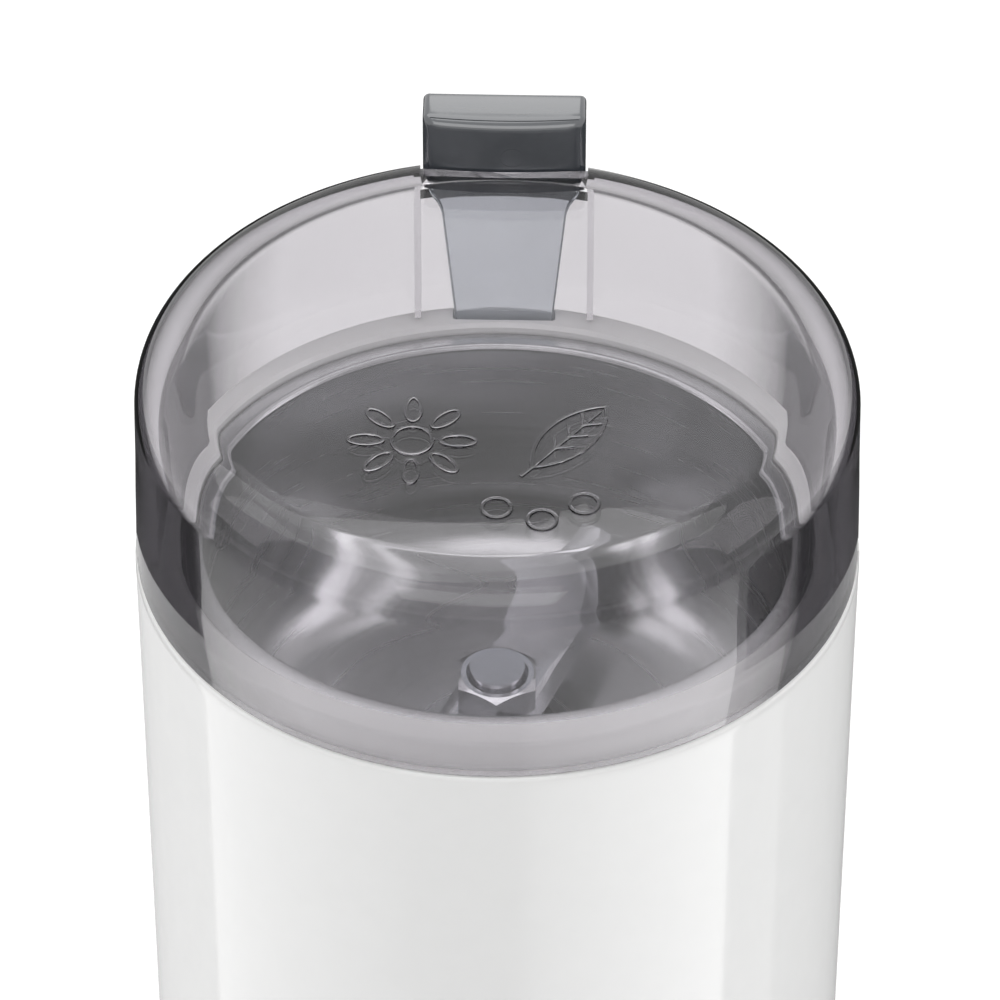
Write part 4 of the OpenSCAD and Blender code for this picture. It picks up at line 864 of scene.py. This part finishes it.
TABLE_HALF, TABLE_GAP = 6, 0.05  # metres, and millimetres under the feet
table_bm = bmesh.new()
bmesh.ops.create_grid(table_bm, x_segments=1, y_segments=1, size=TABLE_HALF)
shift(table_bm, (0, 0, -TABLE_GAP))
table = piece_from(table_bm, "table")
paper = bpy.data.materials.new("table_white")
paper.use_nodes = True
tree = paper.node_tree
shader, out = tree.nodes["Principled BSDF"], tree.nodes["Material Output"]
shader.inputs["Base Color"].default_value = (0.8, 0.8, 0.8, 1)
shader.inputs["Roughness"].default_value = 0.9
shader.inputs["Specular IOR Level"].default_value = 0.0
glow = tree.nodes.new("ShaderNodeEmission")
tree.links.new(scaled(tree, seen_directly(tree), 0, 0.35), glow.inputs["Strength"])
add = tree.nodes.new("ShaderNodeAddShader")
tree.links.new(shader.outputs[0], add.inputs[0])
tree.links.new(glow.outputs[0], add.inputs[1])
tree.links.new(add.outputs[0], out.inputs["Surface"])
table.data.materials.append(paper)

world = bpy.data.worlds.new("studio")
bpy.context.scene.world = world
world.use_nodes = True
background = world.node_tree.nodes["Background"]
background.inputs["Color"].default_value = (1, 1, 1, 1)
world.node_tree.links.new(scaled(world.node_tree, seen_directly(world.node_tree), 0.5, 1.0),
                          background.inputs["Strength"])
print("the table is", 2 * TABLE_HALF, "m wide")

# %% [markdown]
# Four large soft lamps give plain, even light. The two at the sides are left out of mirrors,
# because they would draw hard bright stripes down the gloss of the body and on the lid.

# %% Lamps
LIT_POINT = Vector((0, 0, 0.1))  # all lamps face it; in metres


def lamp(name, at, size, radiance, mirrored=True):
    """A rectangular soft lamp. Its power follows from its size and its brightness."""
    data = bpy.data.lights.new(name, "AREA")
    data.shape, data.size, data.size_y = "RECTANGLE", size[0], size[1]
    data.energy = radiance * math.pi * size[0] * size[1]
    made = bpy.data.objects.new(name, data)
    bpy.context.scene.collection.objects.link(made)
    made.location = Vector(at)
    made.rotation_euler = (LIT_POINT - Vector(at)).to_track_quat("-Z", "Y").to_euler()
    made.visible_camera = False
    made.visible_glossy = mirrored
    print(f"{name}: {data.energy:.1f} W")


lamp("top_softbox", (-0.2, 0.25, 1.5), (1.6, 1.4), 1.25)
lamp("front_softbox", (-0.1, -1.4, 1.0), (1.2, 0.8), 1.35)
lamp("left_softbox", (-1.2, -0.2, 0.7), (0.5, 1.0), 2.0, mirrored=False)
lamp("right_softbox", (1.2, -0.2, 0.7), (0.6, 1.0), 2.4, mirrored=False)

# %% [markdown]
# Glossy white plastic needs something to reflect. Seen from above, its upright wall mirrors
# only the table close by, so photographers lay white, grey and black cards there. These
# cards are flat fans around the grinder. They show only in mirrors, and light nothing.
# The white ones give the soft gleams at both sides of the front: their brightness changes
# along the fan, and fades into the grey cards at the near and far edges. The grey and dark
# cards farther out keep the body a little darker than the ground, so its outline shows.

# %% Reflector cards
def glowing(bm, name):
    """A card that only mirrors see. Its points carry its brightness."""
    made = piece_from(bm, name)
    material = bpy.data.materials.new(name)
    material.use_nodes = True
    tree = material.node_tree
    tree.nodes.remove(tree.nodes["Principled BSDF"])
    glow = tree.nodes.new("ShaderNodeEmission")
    bright = tree.nodes.new("ShaderNodeAttribute")
    bright.attribute_name = "bright"
    tree.links.new(bright.outputs["Fac"], glow.inputs["Strength"])
    tree.links.new(glow.outputs[0], tree.nodes["Material Output"].inputs["Surface"])
    made.data.materials.append(material)
    for kind in ("camera", "diffuse", "transmission", "volume_scatter", "shadow"):
        setattr(made, "visible_" + kind, False)


GREY_LEVEL, DARK_LEVEL = 0.6, 0.05
CARD_Z, SOFT_CARD_Z = 1, 1.5  # millimetres above the table


def fan_card(name, start, end, bright_start, bright_end, fade=1.0, near=50, far=150, soft=0,
             steps=24):
    """A fan on the table. Angles run from the front towards the right, in degrees.

    Over the width `soft` on both sides of its near and far edges, the card fades into the grey
    cards, and it lies a little above them."""
    bm = bmesh.new()
    bmesh.ops.create_grid(bm, x_segments=steps, y_segments=3 if soft else 1, size=1)
    level = bm.verts.layers.float.new("bright")
    for v in bm.verts:
        along = (v.co.x + 1) / 2
        angle = math.radians(start + (end - start) * along)
        foot = Vector((math.sin(angle / 2), -math.cos(angle / 2) * BODY_K, 0)) * BODY_W / 2
        way = Vector((math.sin(angle), -math.cos(angle), 0))
        outer, at_edge = v.co.y > 0, abs(v.co.y) > 0.9
        reach = (far if outer else near) + (soft if outer == at_edge else -soft)
        v.co = (foot + way * reach + Vector((0, 0, SOFT_CARD_Z if soft else CARD_Z))) * MM
        v[level] = bright_start + (bright_end - bright_start) * along ** fade
        if soft and at_edge:
            v[level] = GREY_LEVEL
    glowing(bm, name)


fan_card("white_card_right", 8, 80, 1.0, 3.0, fade=0.5, near=40, far=170, soft=30)
fan_card("white_card_left", -24, -104, 1.0, 2.1, fade=0.7, near=40, far=170, soft=30)
fan_card("white_card_front", -24, 8, 1.0, 1.0, near=40, far=170, soft=30)
fan_card("pale_card_left", -104, -175, 1.1, 0.6)
fan_card("grey_card_right", 104, 175, 0.7, 0.4)
fan_card("grey_card_near", 0, 360, GREY_LEVEL, GREY_LEVEL, near=3, far=50, steps=60)
fan_card("grey_card_front", -104, 84, GREY_LEVEL, GREY_LEVEL, near=150, far=700)
fan_card("dark_card_left", -104, -180, DARK_LEVEL, DARK_LEVEL, near=150, far=700)
fan_card("dark_card_right", 84, 180, DARK_LEVEL, DARK_LEVEL, near=150, far=700)

# %% [markdown]
# The flat top of the button mirrors a place behind it. A small card stands there, square to
# the mirrored line of sight. It is close to the button and no wider than it, so that the lid
# hardly mirrors it.

# %% Card behind the button
CARD_W, CARD_H, CARD_LOW, CARD_AWAY, CARD_BRIGHT = BUTTON_W - 0.4, 3.2, 0.5, 6, 2.2
middle = Vector((BUTTON_BACK - BUTTON_D / 2, BUTTON_TOP))
seen_from = Vector((camera.location.y, camera.location.z)) / MM - middle
glance = math.atan2(seen_from.y, -seen_from.x)
card = bmesh.new()
bmesh.ops.create_grid(card, x_segments=1, y_segments=1, size=0.5)
level = card.verts.layers.float.new("bright")
for v in card.verts:
    v[level] = CARD_BRIGHT
bmesh.ops.scale(card, vec=Vector((CARD_W, CARD_H, 1)) * MM, verts=card.verts)
shift(card, (0, -CARD_LOW, 0))
bmesh.ops.rotate(card, cent=(0, 0, 0), verts=card.verts,
                 matrix=Matrix.Rotation(glance + math.pi / 2, 3, "X"))
shift(card, (0, middle.x + math.cos(glance) * CARD_AWAY,
              middle.y + math.sin(glance) * CARD_AWAY))
glowing(card, "button_card")
print(f"the card leans {math.degrees(glance):.0f} degrees from upright")

# %% [markdown]
# Last, the colours are shown as they are.

# %% Finish
bpy.context.scene.view_settings.view_transform = "Standard"
